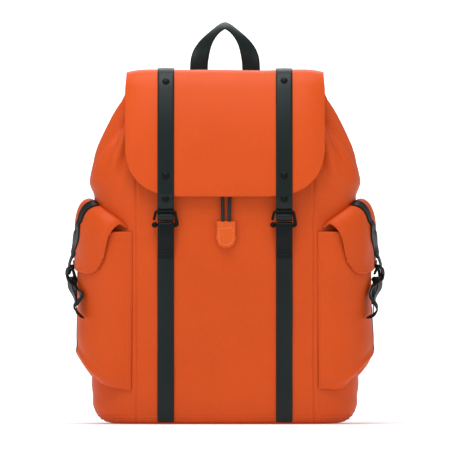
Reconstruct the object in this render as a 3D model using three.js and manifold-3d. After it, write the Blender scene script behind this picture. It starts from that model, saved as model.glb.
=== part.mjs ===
// A flap-top rucksack in coated fabric: sewn body panels, drawcord mouth, two-part lid, two hook straps,
// two side cargo pockets with flaps and hook straps, grab handle and padded shoulder straps.
// Millimetres, +Z up, the front faces -Y, the wearer's back is at +Y. The origin is on the flat underside of the base.
import * as THREE from 'three';
import { mergeVertices } from 'three/addons/utils/BufferGeometryUtils.js';
import Module from 'manifold-3d';

const wasm = await Module();
wasm.setup();

// ---------------------------------------------------------------- driving dimensions
const WALL = 2.0;            // body fabric with lining
const GAP = 0.35;            // gap between sewn neighbours
const BODY_TOP = 438;        // where the body panels meet the mouth hem
const BASE_T = 2.0;
const HEM_LOW = 438.4, HEM_HIGH = 452;
const FRONT_SEAM = THREE.MathUtils.degToRad(57);   // superellipse angle of the front panel seams
const BACK_SEAM = THREE.MathUtils.degToRad(43.4);  // and of the back panel seams
const N_FRONT = 3.2, N_BACK = 5.0;                 // roundness of the section's front and back halves
// z, half width, half depth, centre of depth
const BODY = [
  [2.3, 156, 69, 0], [7, 163, 75, 0], [16, 169.5, 79.5, 0], [34, 173, 82, -1], [100, 172.5, 82.5, -1], [170, 171.5, 82.5, -1],
  [240, 171, 82.5, -1], [300, 171, 81.5, -1], [319, 175, 80, 0], [346, 168.5, 76, 0], [364, 161, 72.5, 2], [393, 147, 65, 6],
  [424, 132, 55, 13], [438, 126, 50, 16], [452, 121, 47, 18]];
const STRAP_X = 77, STRAP_W = 20, STRAP_T = 1.8;   // front webbing
const LID_T = 2.2, LID_HALF = 129;
const LID_TOP_PATH = [[64, 459.4], [45, 461], [20, 461.9], [0, 462], [-14, 461.9]];
const LID_FRONT_PATH = [[-17.5, 461.9], [-34, 461.2], [-44, 458.8], [-51, 453.6], [-56.5, 445.5], [-65, 426], [-74.5, 398], [-83, 364], [-89, 331], [-92.3, 310], [-93.4, 297]];
const LID_CORNER_W = 83, LID_CORNER_H = 79, LID_LOW = 297;
const LID_HINGE = [0, 66.5, 460];
const LID_BEND = [0, -15.8, 464.6];
const HOOK_Z = 276.9;                              // centre of the front hooks' top bar
const HOOK_Y = -90.5;
const HOOK_T = 2.6;
const RIVET_R = 3.9, RIVET_Z = [446.5, 323, 294.5];
const POCKET_TOP = 250, POCKET_BULGE = 18.8, POCKET_A0 = -FRONT_SEAM + 0.02, POCKET_A1 = THREE.MathUtils.degToRad(41);
const CORD_D = 5, CORD_X = 4.2;
const HANDLE_W = 21, HANDLE_T = 2.4;
const COLOURS = { orange: 0xdb5526, black: 0x1d2526, metal: 0x0c0e0f, lining: 0x23282b, foam: 0x2a2e31, cord: 0x1a1c1e };

// ---------------------------------------------------------------- helpers
const rad = THREE.MathUtils.degToRad;
const lerp = THREE.MathUtils.lerp;
const clamp = THREE.MathUtils.clamp;
const smooth = (t) => { t = clamp(t, 0, 1); return t * t * (3 - 2 * t); };
const root = new THREE.Group();

function closed(geometry) {
  let g = geometry.index ? geometry.toNonIndexed() : geometry.clone();
  for (const k of Object.keys(g.attributes)) if (k !== 'position') g.deleteAttribute(k);
  return mergeVertices(g, 1e-4);
}
function solid(geometry) {
  const g = closed(geometry);
  const triVerts = new Uint32Array(g.index.array);
  let m = new wasm.Manifold(new wasm.Mesh({ numProp: 3, vertProperties: new Float32Array(g.attributes.position.array), triVerts }));
  if (m.volume() < 0) {
    for (let i = 0; i < triVerts.length; i += 3) [triVerts[i + 1], triVerts[i + 2]] = [triVerts[i + 2], triVerts[i + 1]];
    m = new wasm.Manifold(new wasm.Mesh({ numProp: 3, vertProperties: new Float32Array(g.attributes.position.array), triVerts }));
  }
  return m;
}
function geometryOf(m) {
  const mesh = m.getMesh(), n = mesh.numProp, p = new Float32Array(mesh.numVert * 3);
  for (let i = 0; i < mesh.numVert; i++) p.set(mesh.vertProperties.subarray(i * n, i * n + 3), i * 3);
  return new THREE.BufferGeometry().setAttribute('position', new THREE.BufferAttribute(p, 3)).setIndex(new THREE.BufferAttribute(new Uint32Array(mesh.triVerts), 1));
}
function add(name, shape, colour, roughness = 0.6, metalness = 0) {
  const g = shape instanceof THREE.BufferGeometry ? geometryOf(solid(shape)) : geometryOf(shape);
  const mesh = new THREE.Mesh(g, new THREE.MeshStandardMaterial({ color: colour, roughness, metalness }));
  mesh.name = name;
  root.add(mesh);
  return mesh;
}
// A box whose u, v, w in 0..1 are carried to any place by fn.
function warp(nu, nv, nw, fn) {
  const g = closed(new THREE.BoxGeometry(1, 1, 1, nu, nv, nw));
  const p = g.attributes.position;
  for (let i = 0; i < p.count; i++) {
    const [x, y, z] = fn(p.getX(i) + 0.5, p.getY(i) + 0.5, p.getZ(i) + 0.5);
    p.setXYZ(i, x, y, z);
  }
  return g;
}
function station(list, v) { // a value from a list, by index share
  const f = v * (list.length - 1), i = Math.min(list.length - 2, Math.floor(f));
  return lerp(list[i], list[i + 1], f - i);
}
function section(z) {
  let i = 0;
  while (i < BODY.length - 2 && z > BODY[i + 1][0]) i++;
  const [p, q] = [BODY[i], BODY[i + 1]], t = clamp((z - p[0]) / (q[0] - p[0]), 0, 1);
  return { a: lerp(p[1], q[1], t), b: lerp(p[2], q[2], t), yc: lerp(p[3], q[3], t) };
}
// A point of the body's outer surface, off millimetres outside it. Angle 0 is +X, -90 degrees the front's middle.
function body(angle, z, off = 0) {
  const s = section(z), c = Math.cos(angle), n = Math.sin(angle), e = 2 / (n < 0 ? N_FRONT : N_BACK);
  return [(s.a + off) * Math.sign(c) * Math.abs(c) ** e, s.yc + (s.b + off) * Math.sign(n) * Math.abs(n) ** e, z];
}
// A band of the given thickness around a path in a plane, as a closed outline.
function band(path, t) {
  const left = [], right = [];
  path.forEach((p, i) => {
    const a = path[Math.max(0, i - 1)], b = path[Math.min(path.length - 1, i + 1)];
    let d0 = i ? new THREE.Vector2(p[0] - a[0], p[1] - a[1]).normalize() : null;
    let d1 = i < path.length - 1 ? new THREE.Vector2(b[0] - p[0], b[1] - p[1]).normalize() : null;
    if (!d0) d0 = d1;
    if (!d1) d1 = d0;
    const n0 = new THREE.Vector2(-d0.y, d0.x), n1 = new THREE.Vector2(-d1.y, d1.x), n = n0.clone().add(n1).normalize();
    const k = t / 2 / Math.max(0.5, n.dot(n0));
    left.push([p[0] + n.x * k, p[1] + n.y * k]);
    right.push([p[0] - n.x * k, p[1] - n.y * k]);
  });
  return [...left, ...right.reverse()];
}
function shapeOf(points) { return new THREE.Shape(points.map(([x, y]) => new THREE.Vector2(x, y))); }
// A Y-Z outline carried along X from x0 to x1.
function alongX(outline, x0, x1) {
  const g = new THREE.ExtrudeGeometry(shapeOf(outline), { depth: x1 - x0, bevelEnabled: false });
  g.applyMatrix4(new THREE.Matrix4().makeBasis(new THREE.Vector3(0, 1, 0), new THREE.Vector3(0, 0, 1), new THREE.Vector3(1, 0, 0)));
  g.translate(x0, 0, 0);
  return g;
}
// An X-Z outline carried along Y from y0 to y1.
function alongY(outline, y0, y1) {
  const g = new THREE.ExtrudeGeometry(shapeOf(outline), { depth: y1 - y0, bevelEnabled: false });
  g.applyMatrix4(new THREE.Matrix4().makeBasis(new THREE.Vector3(1, 0, 0), new THREE.Vector3(0, 0, 1), new THREE.Vector3(0, -1, 0)));
  g.translate(0, y1, 0);
  return g;
}
function shift(path, d) { // a path moved d to its left
  return path.map((p, i) => {
    const a = path[Math.max(0, i - 1)], b = path[Math.min(path.length - 1, i + 1)], v = new THREE.Vector2(b[0] - a[0], b[1] - a[1]).normalize();
    return [p[0] - v.y * d, p[1] + v.x * d];
  });
}
function rod(from, to, r, sides = 12) {
  const a = new THREE.Vector3(...from), b = new THREE.Vector3(...to), d = b.clone().sub(a);
  const g = new THREE.CylinderGeometry(r, r, d.length(), sides);
  g.applyQuaternion(new THREE.Quaternion().setFromUnitVectors(new THREE.Vector3(0, 1, 0), d.clone().normalize()));
  g.translate(...a.add(b).multiplyScalar(0.5).toArray());
  return g;
}
// A ring or stud made by turning an r-h profile; axis gives where +h points.
function turned(profile, at, axis, sides = 14) {
  const g = new THREE.LatheGeometry(profile.map(([r, h]) => new THREE.Vector2(r, h)), sides);
  g.applyQuaternion(new THREE.Quaternion().setFromUnitVectors(new THREE.Vector3(0, 1, 0), new THREE.Vector3(...axis).normalize()));
  g.translate(...at);
  return g;
}
// A flat strap along a 3-D path: each station has its middle, the direction of its width, its width and its thickness.
function ribbon(stations, nu = 2) {
  return warp(nu, stations.length - 1, 1, (u, v, w) => {
    const i = Math.round(v * (stations.length - 1)), s = stations[i];
    const a = stations[Math.max(0, i - 1)].p, b = stations[Math.min(stations.length - 1, i + 1)].p;
    const along = b.clone().sub(a).normalize(), wide = s.wide.clone().addScaledVector(along, -s.wide.dot(along)).normalize();
    const out = along.clone().cross(wide);
    return s.p.clone().addScaledVector(wide, (u - 0.5) * s.w).addScaledVector(out, (w - 0.5) * s.t).toArray();
  });
}
const V = (x, y, z) => new THREE.Vector3(x, y, z);
const mirrorX = (g) => g.clone().applyMatrix4(new THREE.Matrix4().makeScale(-1, 1, 1));
const SIDES = [['left', -1], ['right', 1]];

// ---------------------------------------------------------------- body panels
const Z_STATIONS = BODY.map((r) => r[0]).filter((z) => z < BODY_TOP).concat([BODY_TOP]);
const panel = (a0, a1, nu) => warp(nu, Z_STATIONS.length - 1, 1, (u, v, w) => body(lerp(a0, a1, u), station(Z_STATIONS, v), -w * WALL));
const CUT = 0.0028; // half the seam gap, as an angle
add('front_panel', panel(-Math.PI / 2 - (Math.PI / 2 - FRONT_SEAM) + CUT, -Math.PI / 2 + (Math.PI / 2 - FRONT_SEAM) - CUT, 8), COLOURS.orange);
add('side_panel_right', panel(-FRONT_SEAM + CUT, BACK_SEAM - CUT, 9), COLOURS.orange);
add('side_panel_left', mirrorX(panel(-FRONT_SEAM + CUT, BACK_SEAM - CUT, 9)), COLOURS.orange);
add('back_panel', panel(BACK_SEAM + CUT, Math.PI - BACK_SEAM - CUT, 8), COLOURS.orange);
{
  const n = 40, pts = [];
  for (let i = 0; i < n; i++) {
    const [x, y] = body((i / n) * 2 * Math.PI + 0.02, 2.3, -1.5);
    pts.push(new THREE.Vector2(x, y));
  }
  add('base_panel', new THREE.ExtrudeGeometry(new THREE.Shape(pts), { depth: BASE_T, bevelEnabled: false }), COLOURS.orange);
}

// mouth hem: a closed band with the drawcord's channel, and two eyelets through its front
const EYELET_X = 15, EYELET_Z = 445, HEM_OUT = [0, -0.942, 0.336];
const frontY = (x, z, off = 0) => { const q = section(z); return q.yc - (q.b + off) * (1 - clamp(Math.abs(x) / (q.a + off), 0, 1) ** N_FRONT) ** (1 / N_FRONT); };
const eyeletAt = [0, 0, 0].map((_, i) => [EYELET_X, frontY(EYELET_X, EYELET_Z, -1), EYELET_Z][i]);
const alongHem = (s, h) => [s * eyeletAt[0], eyeletAt[1] + HEM_OUT[1] * h, eyeletAt[2] + HEM_OUT[2] * h];
{
  const g = closed(new THREE.TorusGeometry(100, 10, 8, 48)), p = g.attributes.position;
  for (let i = 0; i < p.count; i++) {
    const x = p.getX(i), y = p.getY(i), z = p.getZ(i), angle = Math.atan2(y, x), ring = Math.hypot(x, y) - 100;
    const q = Math.atan2(z, ring), e = 0.35; // a rounded-rectangle section
    const off = Math.sign(Math.cos(q)) * Math.abs(Math.cos(q)) ** e * 1.7 - 1.0, up = Math.sign(Math.sin(q)) * Math.abs(Math.sin(q)) ** e;
    const height = lerp(HEM_LOW, HEM_HIGH, (up + 1) / 2);
    const [bx, by] = body(angle + 1e-4, height, off);
    p.setXYZ(i, bx, by, height);
  }
  let hem = solid(g);
  for (const sx of [-1, 1]) hem = hem.subtract(solid(rod(alongHem(sx, -12), alongHem(sx, 12), 4.1)));
  // one band sewn up at centre front and centre back
  for (const [name, sx] of [['left', -1], ['right', 1]]) add(`mouth_hem_${name}`, hem.intersect(solid(new THREE.BoxGeometry(200, 300, 60).translate(sx * 100.03, 0, 445))), COLOURS.orange);
}
for (const [side, s] of SIDES) {
  const h = 2.6;
  add('eyelet_' + side, turned([[2.9, -h - 0.9], [5.2, -h - 0.9], [5.2, -h], [3.6, -h], [3.6, h], [5.4, h], [5.4, h + 0.9], [2.9, h + 0.9], [2.9, -h - 0.9]], alongHem(s, 0), HEM_OUT), COLOURS.metal, 0.35, 0.8);
}

// ---------------------------------------------------------------- lid
const lidOutline = (() => {
  const half = [];
  for (let i = 0; i <= 10; i++) {
    const t = (i / 10) * Math.PI / 2, e = 2 / 2.75;
    half.push([LID_HALF + 1 - LID_CORNER_W + LID_CORNER_W * Math.cos(t) ** e, LID_LOW + LID_CORNER_H - LID_CORNER_H * Math.sin(t) ** e]);
  }
  return [[LID_HALF, 480], ...half, ...half.slice().reverse().map(([x, z]) => [-x, z]), [-LID_HALF, 480]];
})();
const topPath = shift(LID_TOP_PATH, LID_T / 2), frontPath = shift(LID_FRONT_PATH, LID_T / 2); // middle of the thickness: paths run forward, so left is inward
const lidClip = solid(alongY(lidOutline, -140, 0));
const rivetAt = (z) => { // where a rivet sits on the lid's outer surface, and the outward direction there
  const path = LID_FRONT_PATH;
  for (let i = 1; i < path.length; i++) if (path[i][1] <= z) {
    const t = (path[i - 1][1] - z) / (path[i - 1][1] - path[i][1]), d = new THREE.Vector2(path[i][0] - path[i - 1][0], path[i][1] - path[i - 1][1]).normalize();
    return { y: lerp(path[i - 1][0], path[i][0], t), z, n: [d.y, -d.x] };
  }
  const d = new THREE.Vector2(path.at(-1)[0] - path.at(-2)[0], path.at(-1)[1] - path.at(-2)[1]).normalize();
  return { y: path.at(-1)[0] - 0.15 * (path.at(-1)[1] - z), z, n: [d.y, -d.x] };
};
const rivetHole = (x, z, r = 1.9) => {
  const { y, n } = rivetAt(z);
  return solid(rod([x, y + n[0] * 9, z + n[1] * 9], [x, y - n[0] * 9, z - n[1] * 9], r, 10));
};
add('lid_top', alongX(band(topPath, LID_T), -LID_HALF, LID_HALF), COLOURS.orange);
{
  let lid = solid(alongX(band(frontPath, LID_T), -LID_HALF - 1, LID_HALF + 1)).intersect(lidClip);
  for (const [, s] of SIDES) for (const z of RIVET_Z.slice(0, 2)) lid = lid.subtract(rivetHole(s * STRAP_X, z));
  add('lid_front', lid, COLOURS.orange);
}
// Front hook frame, in its own plane: x across from the strap's middle, z from the top bar down.
const HOOK_TOP = [-92.1, 276.9], HOOK_LOW = [-87.6, 259.4];
const hookPoint = (x, d) => V(x, lerp(HOOK_TOP[0], HOOK_LOW[0], d / 17.5), HOOK_TOP[1] - d);
function wire(points, r, sides = 8) { // a bent rod with mitred corners
  const curve = new THREE.CurvePath();
  for (let i = 1; i < points.length; i++) curve.add(new THREE.LineCurve3(points[i - 1], points[i]));
  const ring = [];
  for (let k = 0; k < sides; k++) ring.push([Math.cos((k + 0.5) / sides * 2 * Math.PI) * r, Math.sin((k + 0.5) / sides * 2 * Math.PI) * r]);
  const normal = points[1].clone().sub(points[0]).cross(points[2].clone().sub(points[1])).normalize();
  const g = new THREE.CylinderGeometry(1, 1, points.length - 1, sides, points.length - 1), c = closed(g), p = c.attributes.position;
  for (let i = 0; i < p.count; i++) {
    const j = Math.round(p.getY(i) + (points.length - 1) / 2), here = points[j], q = Math.hypot(p.getX(i), p.getZ(i)), angle = Math.atan2(p.getZ(i), p.getX(i));
    const d0 = j ? here.clone().sub(points[j - 1]).normalize() : points[1].clone().sub(here).normalize();
    const d1 = j < points.length - 1 ? points[j + 1].clone().sub(here).normalize() : d0;
    const side0 = normal.clone().cross(d0), mid = d0.clone().add(d1).normalize(), sideways = normal.clone().cross(mid).normalize();
    const stretch = 1 / Math.max(0.6, sideways.dot(side0));
    const at = here.clone().addScaledVector(normal, Math.cos(angle) * r * q).addScaledVector(sideways, Math.sin(angle) * r * q * stretch);
    p.setXYZ(i, at.x, at.y, at.z);
  }
  return c;
}
for (const [side, s] of SIDES) {
  const x = s * STRAP_X, off = -(0.3 + STRAP_T / 2), x0 = x - STRAP_W / 2, x1 = x + STRAP_W / 2;
  add('lid_strap_top_' + side, alongX(band(shift(LID_TOP_PATH, off), STRAP_T), x0, x1), COLOURS.black);
  // outer strap down the lid, behind the hook's top bar and back up to the lowest rivet
  const down = shift(LID_FRONT_PATH.slice(0, -1).concat([[-93.2, 302]]), off);
  const [ty, tz] = HOOK_TOP, R = 2.75;
  const path = down.concat([[ty - R, 290], [ty - R, tz], [ty - R * 0.7, tz - R * 0.7], [ty, tz - R], [ty + R * 0.7, tz - R * 0.7], [ty + R, tz], [ty + R, 279.5], [-92.25, 286.6], [-92.2, 296.4]]);
  let strap = solid(alongX(band(path, STRAP_T), x0, x1));
  for (const z of RIVET_Z.slice(0, 2)) strap = strap.subtract(rivetHole(x, z));
  strap = strap.subtract(solid(rod([x, -110, 291.6], [x, -80, 291.6], 1.9, 10)));
  add('lid_strap_' + side, strap, COLOURS.black);
  RIVET_Z.forEach((z, i) => {
    const r = i < 2 ? rivetAt(z) : { y: -92.3, z: 291.6, n: [-1, 0] };
    const back = i < 2 ? -(LID_T + (i ? 0.35 : 0.9)) : 1.2 - 0.2, front = i < 2 ? 0.3 + STRAP_T + 0.35 : 3.2 + 0.55;
    const b0 = i < 2 ? back : -1.8;
    add(['rivet_upper_', 'rivet_middle_', 'rivet_lower_'][i] + side,
      turned([[0, b0 - 0.9], [3.4, b0 - 0.9], [3.4, b0], [1.55, b0], [1.55, front], [4.4, front], [4.0, front + 1.0], [2.4, front + 1.7], [0, front + 2.0]], [x, r.y, r.z], [0, r.n[0], r.n[1]], 12), COLOURS.metal, 0.35, 0.8);
  });
  // hook: left arm end, top bar, right arm, lower bar with a ball at its open end; the same way round on both sides
  let hook = solid(wire([hookPoint(x - 15.6, 10), hookPoint(x - 13.6, 0), hookPoint(x + 13.0, 0), hookPoint(x + 14.6, 17.5), hookPoint(x - 14, 17.5)], 1.3));
  const ball = new THREE.SphereGeometry(3.0, 12, 8);
  ball.translate(...hookPoint(x - 14.6, 17.5).toArray());
  add('main_hook_' + side, hook.add(solid(ball)), COLOURS.metal, 0.35, 0.8);
}

// ---------------------------------------------------------------- lower front straps with their sewn loops
const onFront = (x0, x1, zs, o0, o1, nu = 2) => warp(nu, zs.length - 1, 1, (u, v, w) => { const x = lerp(x0, x1, u), z = station(zs, v); return [x, frontY(x, z, lerp(o0, o1, w)), z]; });
for (const [side, s] of SIDES) {
  const x = s * STRAP_X, x0 = x - STRAP_W / 2, x1 = x + STRAP_W / 2;
  add('front_strap_' + side, onFront(x0, x1, [6, 7, 16, 34, 100, 170, 226.5], 0.4, 2.2), COLOURS.black);
  const [ly, lz] = HOOK_LOW, R = 2.75, f = (z, o) => frontY(x, z, o);
  const path = [[f(217, 3.5), 217], [f(232, 3.5), 232], [ly - R, lz - 4], [ly - R, lz], [ly - R * 0.7, lz + R * 0.7], [ly, lz + R], [ly + R * 0.7, lz + R * 0.7], [ly + R, lz], [ly + R, lz - 4], [f(234, 1.45), 234], [f(227.2, 1.35), 227.2]];
  const g = closed(alongX(band(path, STRAP_T), x0, x1)), p = g.attributes.position;
  for (let i = 0; i < p.count; i++) { // follow the front's roundness where it is sewn down
    const k = 1 - smooth((p.getZ(i) - 232) / 20);
    p.setY(i, p.getY(i) + k * (frontY(p.getX(i), 226) - frontY(x, 226)));
  }
  add('front_strap_loop_' + side, g, COLOURS.black);
}

// ---------------------------------------------------------------- side pockets, flaps and their hook straps
const pocketLow = (u) => lerp(46, 78, smooth(1 - Math.abs(u - 0.55) / 0.45));
const pocketOff = (u, z) => 1.0 + POCKET_BULGE * (1 - Math.abs(2 * u - 1) ** 3.5) * smooth((z - pocketLow(u)) / 34);
const sideX = (y, z, off = 0) => { const q = section(z), n = y < q.yc ? N_FRONT : N_BACK; return (q.a + off) * (1 - clamp(Math.abs(y - q.yc) / (q.b + off), 0, 1) ** n) ** (1 / n); };
for (const [side, s] of SIDES) {
  const hand = (g) => (s > 0 ? g : mirrorX(g));
  add('side_pocket_' + side, hand(warp(12, 9, 1, (u, v, w) => {
    const z = lerp(pocketLow(u), POCKET_TOP, [0, 0.04, 0.09, 0.14, 0.2, 0.35, 0.5, 0.7, 0.85, 1][Math.round(v * 9)]);
    return body(lerp(POCKET_A0 + 0.01, POCKET_A1, u), z, pocketOff(u, z) + w * 1.8);
  })), COLOURS.orange);
  // flap: sewn to the side above the pocket, over the mouth and down to a rounded tongue
  const y0 = -60, y1 = 46, drop = [[1.2, 290.5], [8, 293], [15.5, 292.3], [20.8, 286], [23.4, 272], [23.2, 250], [22.5, 225], [21.8, 199]];
  const flapAt = (u, i, lift) => {
    const [o, z] = drop[i], t = i / 7, half = [1, 1, 1, 0.99, 0.93, 0.78, 0.62, 0.36][i];
    const y = lerp((y0 + y1) / 2 - half * (y1 - y0) / 2, (y0 + y1) / 2 + half * (y1 - y0) / 2, u);
    const a = drop[Math.max(0, i - 1)], b = drop[Math.min(7, i + 1)], d = new THREE.Vector2(b[0] - a[0], b[1] - a[1]).normalize();
    return [172 + o - d.y * lift, y, z + d.x * lift];
  };
  add('pocket_flap_' + side, hand(warp(6, 7, 1, (u, v, w) => flapAt(u, Math.round(v * 7), w * 1.8))), COLOURS.orange);
  // flap strap: over the flap, round the hook's outer bar and down as a loose wavy end
  const yc = -7, sw = 20;
  const over = drop.slice(1, 7).map(([o, z], i) => { const q = flapAt(0.5, i + 1, 1.8 + 0.9 + 0.9); return [q[0], q[2]]; });
  const strapPath = over.concat([[200.8, 214], [202.35, 206.2], [201.5, 204.2], [199.6, 203.45], [197.7, 204.2], [196.85, 206.2], [196.85, 211]]);
  add('pocket_flap_strap_' + side, hand((() => {
    const g = new THREE.ExtrudeGeometry(shapeOf(band(strapPath, 1.8)), { depth: sw, bevelEnabled: false });
    g.applyMatrix4(new THREE.Matrix4().makeBasis(V(1, 0, 0), V(0, 0, 1), V(0, -1, 0)));
    g.translate(0, yc + sw / 2, 0);
    return g;
  })()), COLOURS.black);
}

// side hooks: flat frames hanging from the flap straps; lower pocket straps with their sewn loops; loose strap ends
const SIDE_Y = -7, SIDE_TOP = [199.6, 206.2], SIDE_LOW = [199.0, 188.5];
for (const [side, s] of SIDES) {
  const P = (dy, k) => V(s * lerp(SIDE_TOP[0], SIDE_LOW[0], k), SIDE_Y + dy, lerp(SIDE_TOP[1], SIDE_LOW[1], k));
  let hook = solid(wire([P(-15.4, 0.55), P(-13.4, 0), P(13.2, 0), P(14.6, 1), P(-13.8, 1)], 1.3));
  const ball = new THREE.SphereGeometry(3.0, 12, 8);
  ball.translate(...P(-14.4, 1).toArray());
  add('side_hook_' + side, hook.add(solid(ball)), COLOURS.metal, 0.35, 0.8);
  const hand = (g) => (s > 0 ? g : mirrorX(g));
  const yz = (outline, w, y) => {
    const g = new THREE.ExtrudeGeometry(shapeOf(outline), { depth: w, bevelEnabled: false });
    g.applyMatrix4(new THREE.Matrix4().makeBasis(V(1, 0, 0), V(0, 0, 1), V(0, -1, 0)));
    g.translate(0, y + w / 2, 0);
    return g;
  };
  const u0 = (Math.asin(-((Math.abs(SIDE_Y + 1) / 82.5) ** (N_FRONT / 2))) - POCKET_A0) / (POCKET_A1 - POCKET_A0);
  const px = (z, o) => sideX(SIDE_Y, z, pocketOff(u0, z) + 1.8 + o);
  const low = [[px(152, 1.4), 152], [px(125, 1.4), 125], [px(115, 2.2), 115], [px(108, 3.4), 108], [px(100, 3.8), 100], [px(92, 3.4), 92], [px(84, 3.0), 84]];
  add('pocket_strap_' + side, hand(yz(band(low, 1.8), 20, SIDE_Y)), COLOURS.black);
  const [lx, lz] = SIDE_LOW, R = 2.75;
  add('pocket_strap_loop_' + side, hand(yz(band([[px(144, 3.5), 144], [px(158, 3.6), 158], [lx + R, lz - 5], [lx + R, lz], [lx + R * 0.7, lz + R * 0.7], [lx, lz + R], [lx - R * 0.7, lz + R * 0.7], [lx - R, lz], [lx - R, lz - 5], [px(160, 1.5), 160], [px(152.8, 1.4), 152.8]], 1.8), 20, SIDE_Y)), COLOURS.black);
}

// ---------------------------------------------------------------- grab handle: one webbing that twists from face-on legs to a face-up top
{
  const line = [[-33.5, 440], [-33.8, 452], [-34.2, 466], [-33.2, 480], [-29.5, 493], [-23, 505], [-14.5, 515.5], [0, 524.6], [14.5, 515.5], [23, 505], [29.5, 493], [33.2, 480], [34.2, 466], [33.8, 452], [33.5, 440]];
  const stations = line.map(([x, z]) => {
    const turn = smooth((z - 468) / 52) * Math.PI / 2;
    return { p: V(x, 72.6 + 5.5 * smooth((z - 452) / 70), z), wide: V(Math.cos(turn), Math.sin(turn), 0), w: HANDLE_W, t: HANDLE_T };
  });
  // legs run up one side and down the other, so the width turns by half a turn over the whole length
  stations.forEach((st, i) => { if (i > 7) st.wide = V(-st.wide.x, st.wide.y, 0); });
  add('carry_handle', ribbon(stations, 2), COLOURS.black);
}

// ---------------------------------------------------------------- back: pad, yoke, shoulder straps
const backY = (x, z, off = 0) => { const q = section(z); return q.yc + (q.b + off) * (1 - clamp(Math.abs(x) / (q.a + off), 0, 1) ** N_BACK) ** (1 / N_BACK); };
{
  const half = 92, zs = [70, 78, 92, 180, 260, 316, 330, 338];
  add('back_pad', warp(8, zs.length - 1, 1, (u, v, w) => {
    const z = station(zs, v), i = Math.round(v * (zs.length - 1)), taper = [0.86, 0.95, 1, 1, 1, 1, 0.95, 0.86][i], x = lerp(-half, half, u) * taper;
    const plump = Math.min(1, [0.25, 0.6, 0.9, 1, 1, 0.9, 0.6, 0.25][i]) * (1 - Math.abs(2 * u - 1) ** 5 * 0.7);
    return [x, backY(x, z, 0.7) + w * (3 + 9 * plump), z];
  }), COLOURS.black);
  add('shoulder_yoke', warp(8, 4, 1, (u, v, w) => {
    const z = lerp(352, 408, v), x = lerp(-74, 74, u) * lerp(1, 0.86, v);
    return [x, backY(x, z, 0.8) + w * 2.4, z];
  }), COLOURS.black);
}
const ARM_TOP = 400;
for (const [side, s] of SIDES) {
  const hand = (g) => (s > 0 ? g : mirrorX(g));
  // padded strap: from the yoke, over a shoulder's curve and down
  const pad = [[44, 79.2, 400, 50, 4], [45, 86, 397, 54, 6], [47, 96, 388, 60, 10], [50, 106, 370, 64, 11], [55, 112.5, 340, 66, 11], [62, 114.5, 300, 64, 11], [71, 112.5, 260, 58, 11], [81, 108.5, 228, 48, 10], [86, 106, 208, 36, 7], [88, 105, 201, 30, 4]];
  const st = pad.map(([x, y, z, w, t]) => ({ p: V(x, y, z), wide: V(1, 0, 0.22 * smooth((400 - z) / 150)), w, t }));
  add('shoulder_strap_' + side, hand(ribbon(st, 3)), COLOURS.black);
  // ladder lock: a moulded frame with three bars, one above the other
  const tilt = new THREE.Matrix4().makeRotationY(rad(12)).setPosition(91.5, 103.2, 182), frame = new THREE.Shape([[-15.5, -14], [15.5, -14], [15.5, 13], [-15.5, 13]].map(([x, y]) => new THREE.Vector2(x, y)));
  for (const [l, h] of [[7, 10], [-1, 3.2], [-11, -5.6]].map(([l, h]) => [Math.min(l, h), Math.max(l, h)])) frame.holes.push(new THREE.Path([[-12.5, l], [12.5, l], [12.5, h], [-12.5, h]].map(([x, y]) => new THREE.Vector2(x, y))));
  const lock = new THREE.ExtrudeGeometry(frame, { depth: 4, bevelEnabled: false });
  lock.translate(0, 0, -2);
  lock.applyMatrix4(new THREE.Matrix4().makeBasis(V(1, 0, 0), V(0, 0, 1), V(0, -1, 0)));
  lock.applyMatrix4(tilt);
  add('ladder_lock_' + side, hand(lock), COLOURS.black, 0.5);
  const web = [[94.4, 98.6, 162], [99, 96, 140], [106, 91, 105], [113, 84.6, 72], [118, 81.6, 47], [119.3, 80.2, 37]];
  add('lower_webbing_' + side, hand(ribbon(web.map(([x, y, z], i) => ({ p: V(x, y + 1.6, z), wide: V(1, -0.12 * smooth(i / 3), 0.16), w: 22, t: 1.9 })), 2)), COLOURS.black);
}

// ---------------------------------------------------------------- drawcord, cord lock and pull tab
const CORD = [[15, -25.2, 443.1], [15, -30.6, 445], [15, -34.9, 446.55], [14.3, -39.4, 446], [12.6, -44.5, 441.5], [9.6, -50, 432], [7.8, -54.9, 421], [7.5, -59.2, 410.5], [7.5, -63.4, 400], [6.4, -71.4, 375], [5.4, -78.9, 352], [5.0, -83.8, 325], [4.8, -86.6, 300], [4.4, -87.2, 280], [4.2, -86.8, 263]];
const LOCK_AT = [1.4, -59.8, 409];
function tube(points, r, sides) {
  const n = points.length - 1, c = closed(new THREE.CylinderGeometry(1, 1, n, sides, n)), p = c.attributes.position, ref = V(1, 0, 0);
  for (let i = 0; i < p.count; i++) {
    const j = Math.round(p.getY(i) + n / 2), q = Math.hypot(p.getX(i), p.getZ(i)), angle = Math.atan2(p.getZ(i), p.getX(i));
    const d = points[Math.min(n, j + 1)].clone().sub(points[Math.max(0, j - 1)]).normalize(), sx = ref.clone().addScaledVector(d, -ref.dot(d)).normalize(), sy = d.clone().cross(sx);
    const at = points[j].clone().addScaledVector(sx, Math.cos(angle) * r * q).addScaledVector(sy, Math.sin(angle) * r * q);
    p.setXYZ(i, at.x, at.y, at.z);
  }
  return c;
}
for (const [side, s] of SIDES) add('drawcord_' + side, tube(CORD.map(([x, y, z]) => V(s * x + 1.4 * smooth((440 - z) / 25), y, z)), CORD_D / 2, 8), COLOURS.cord);

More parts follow.
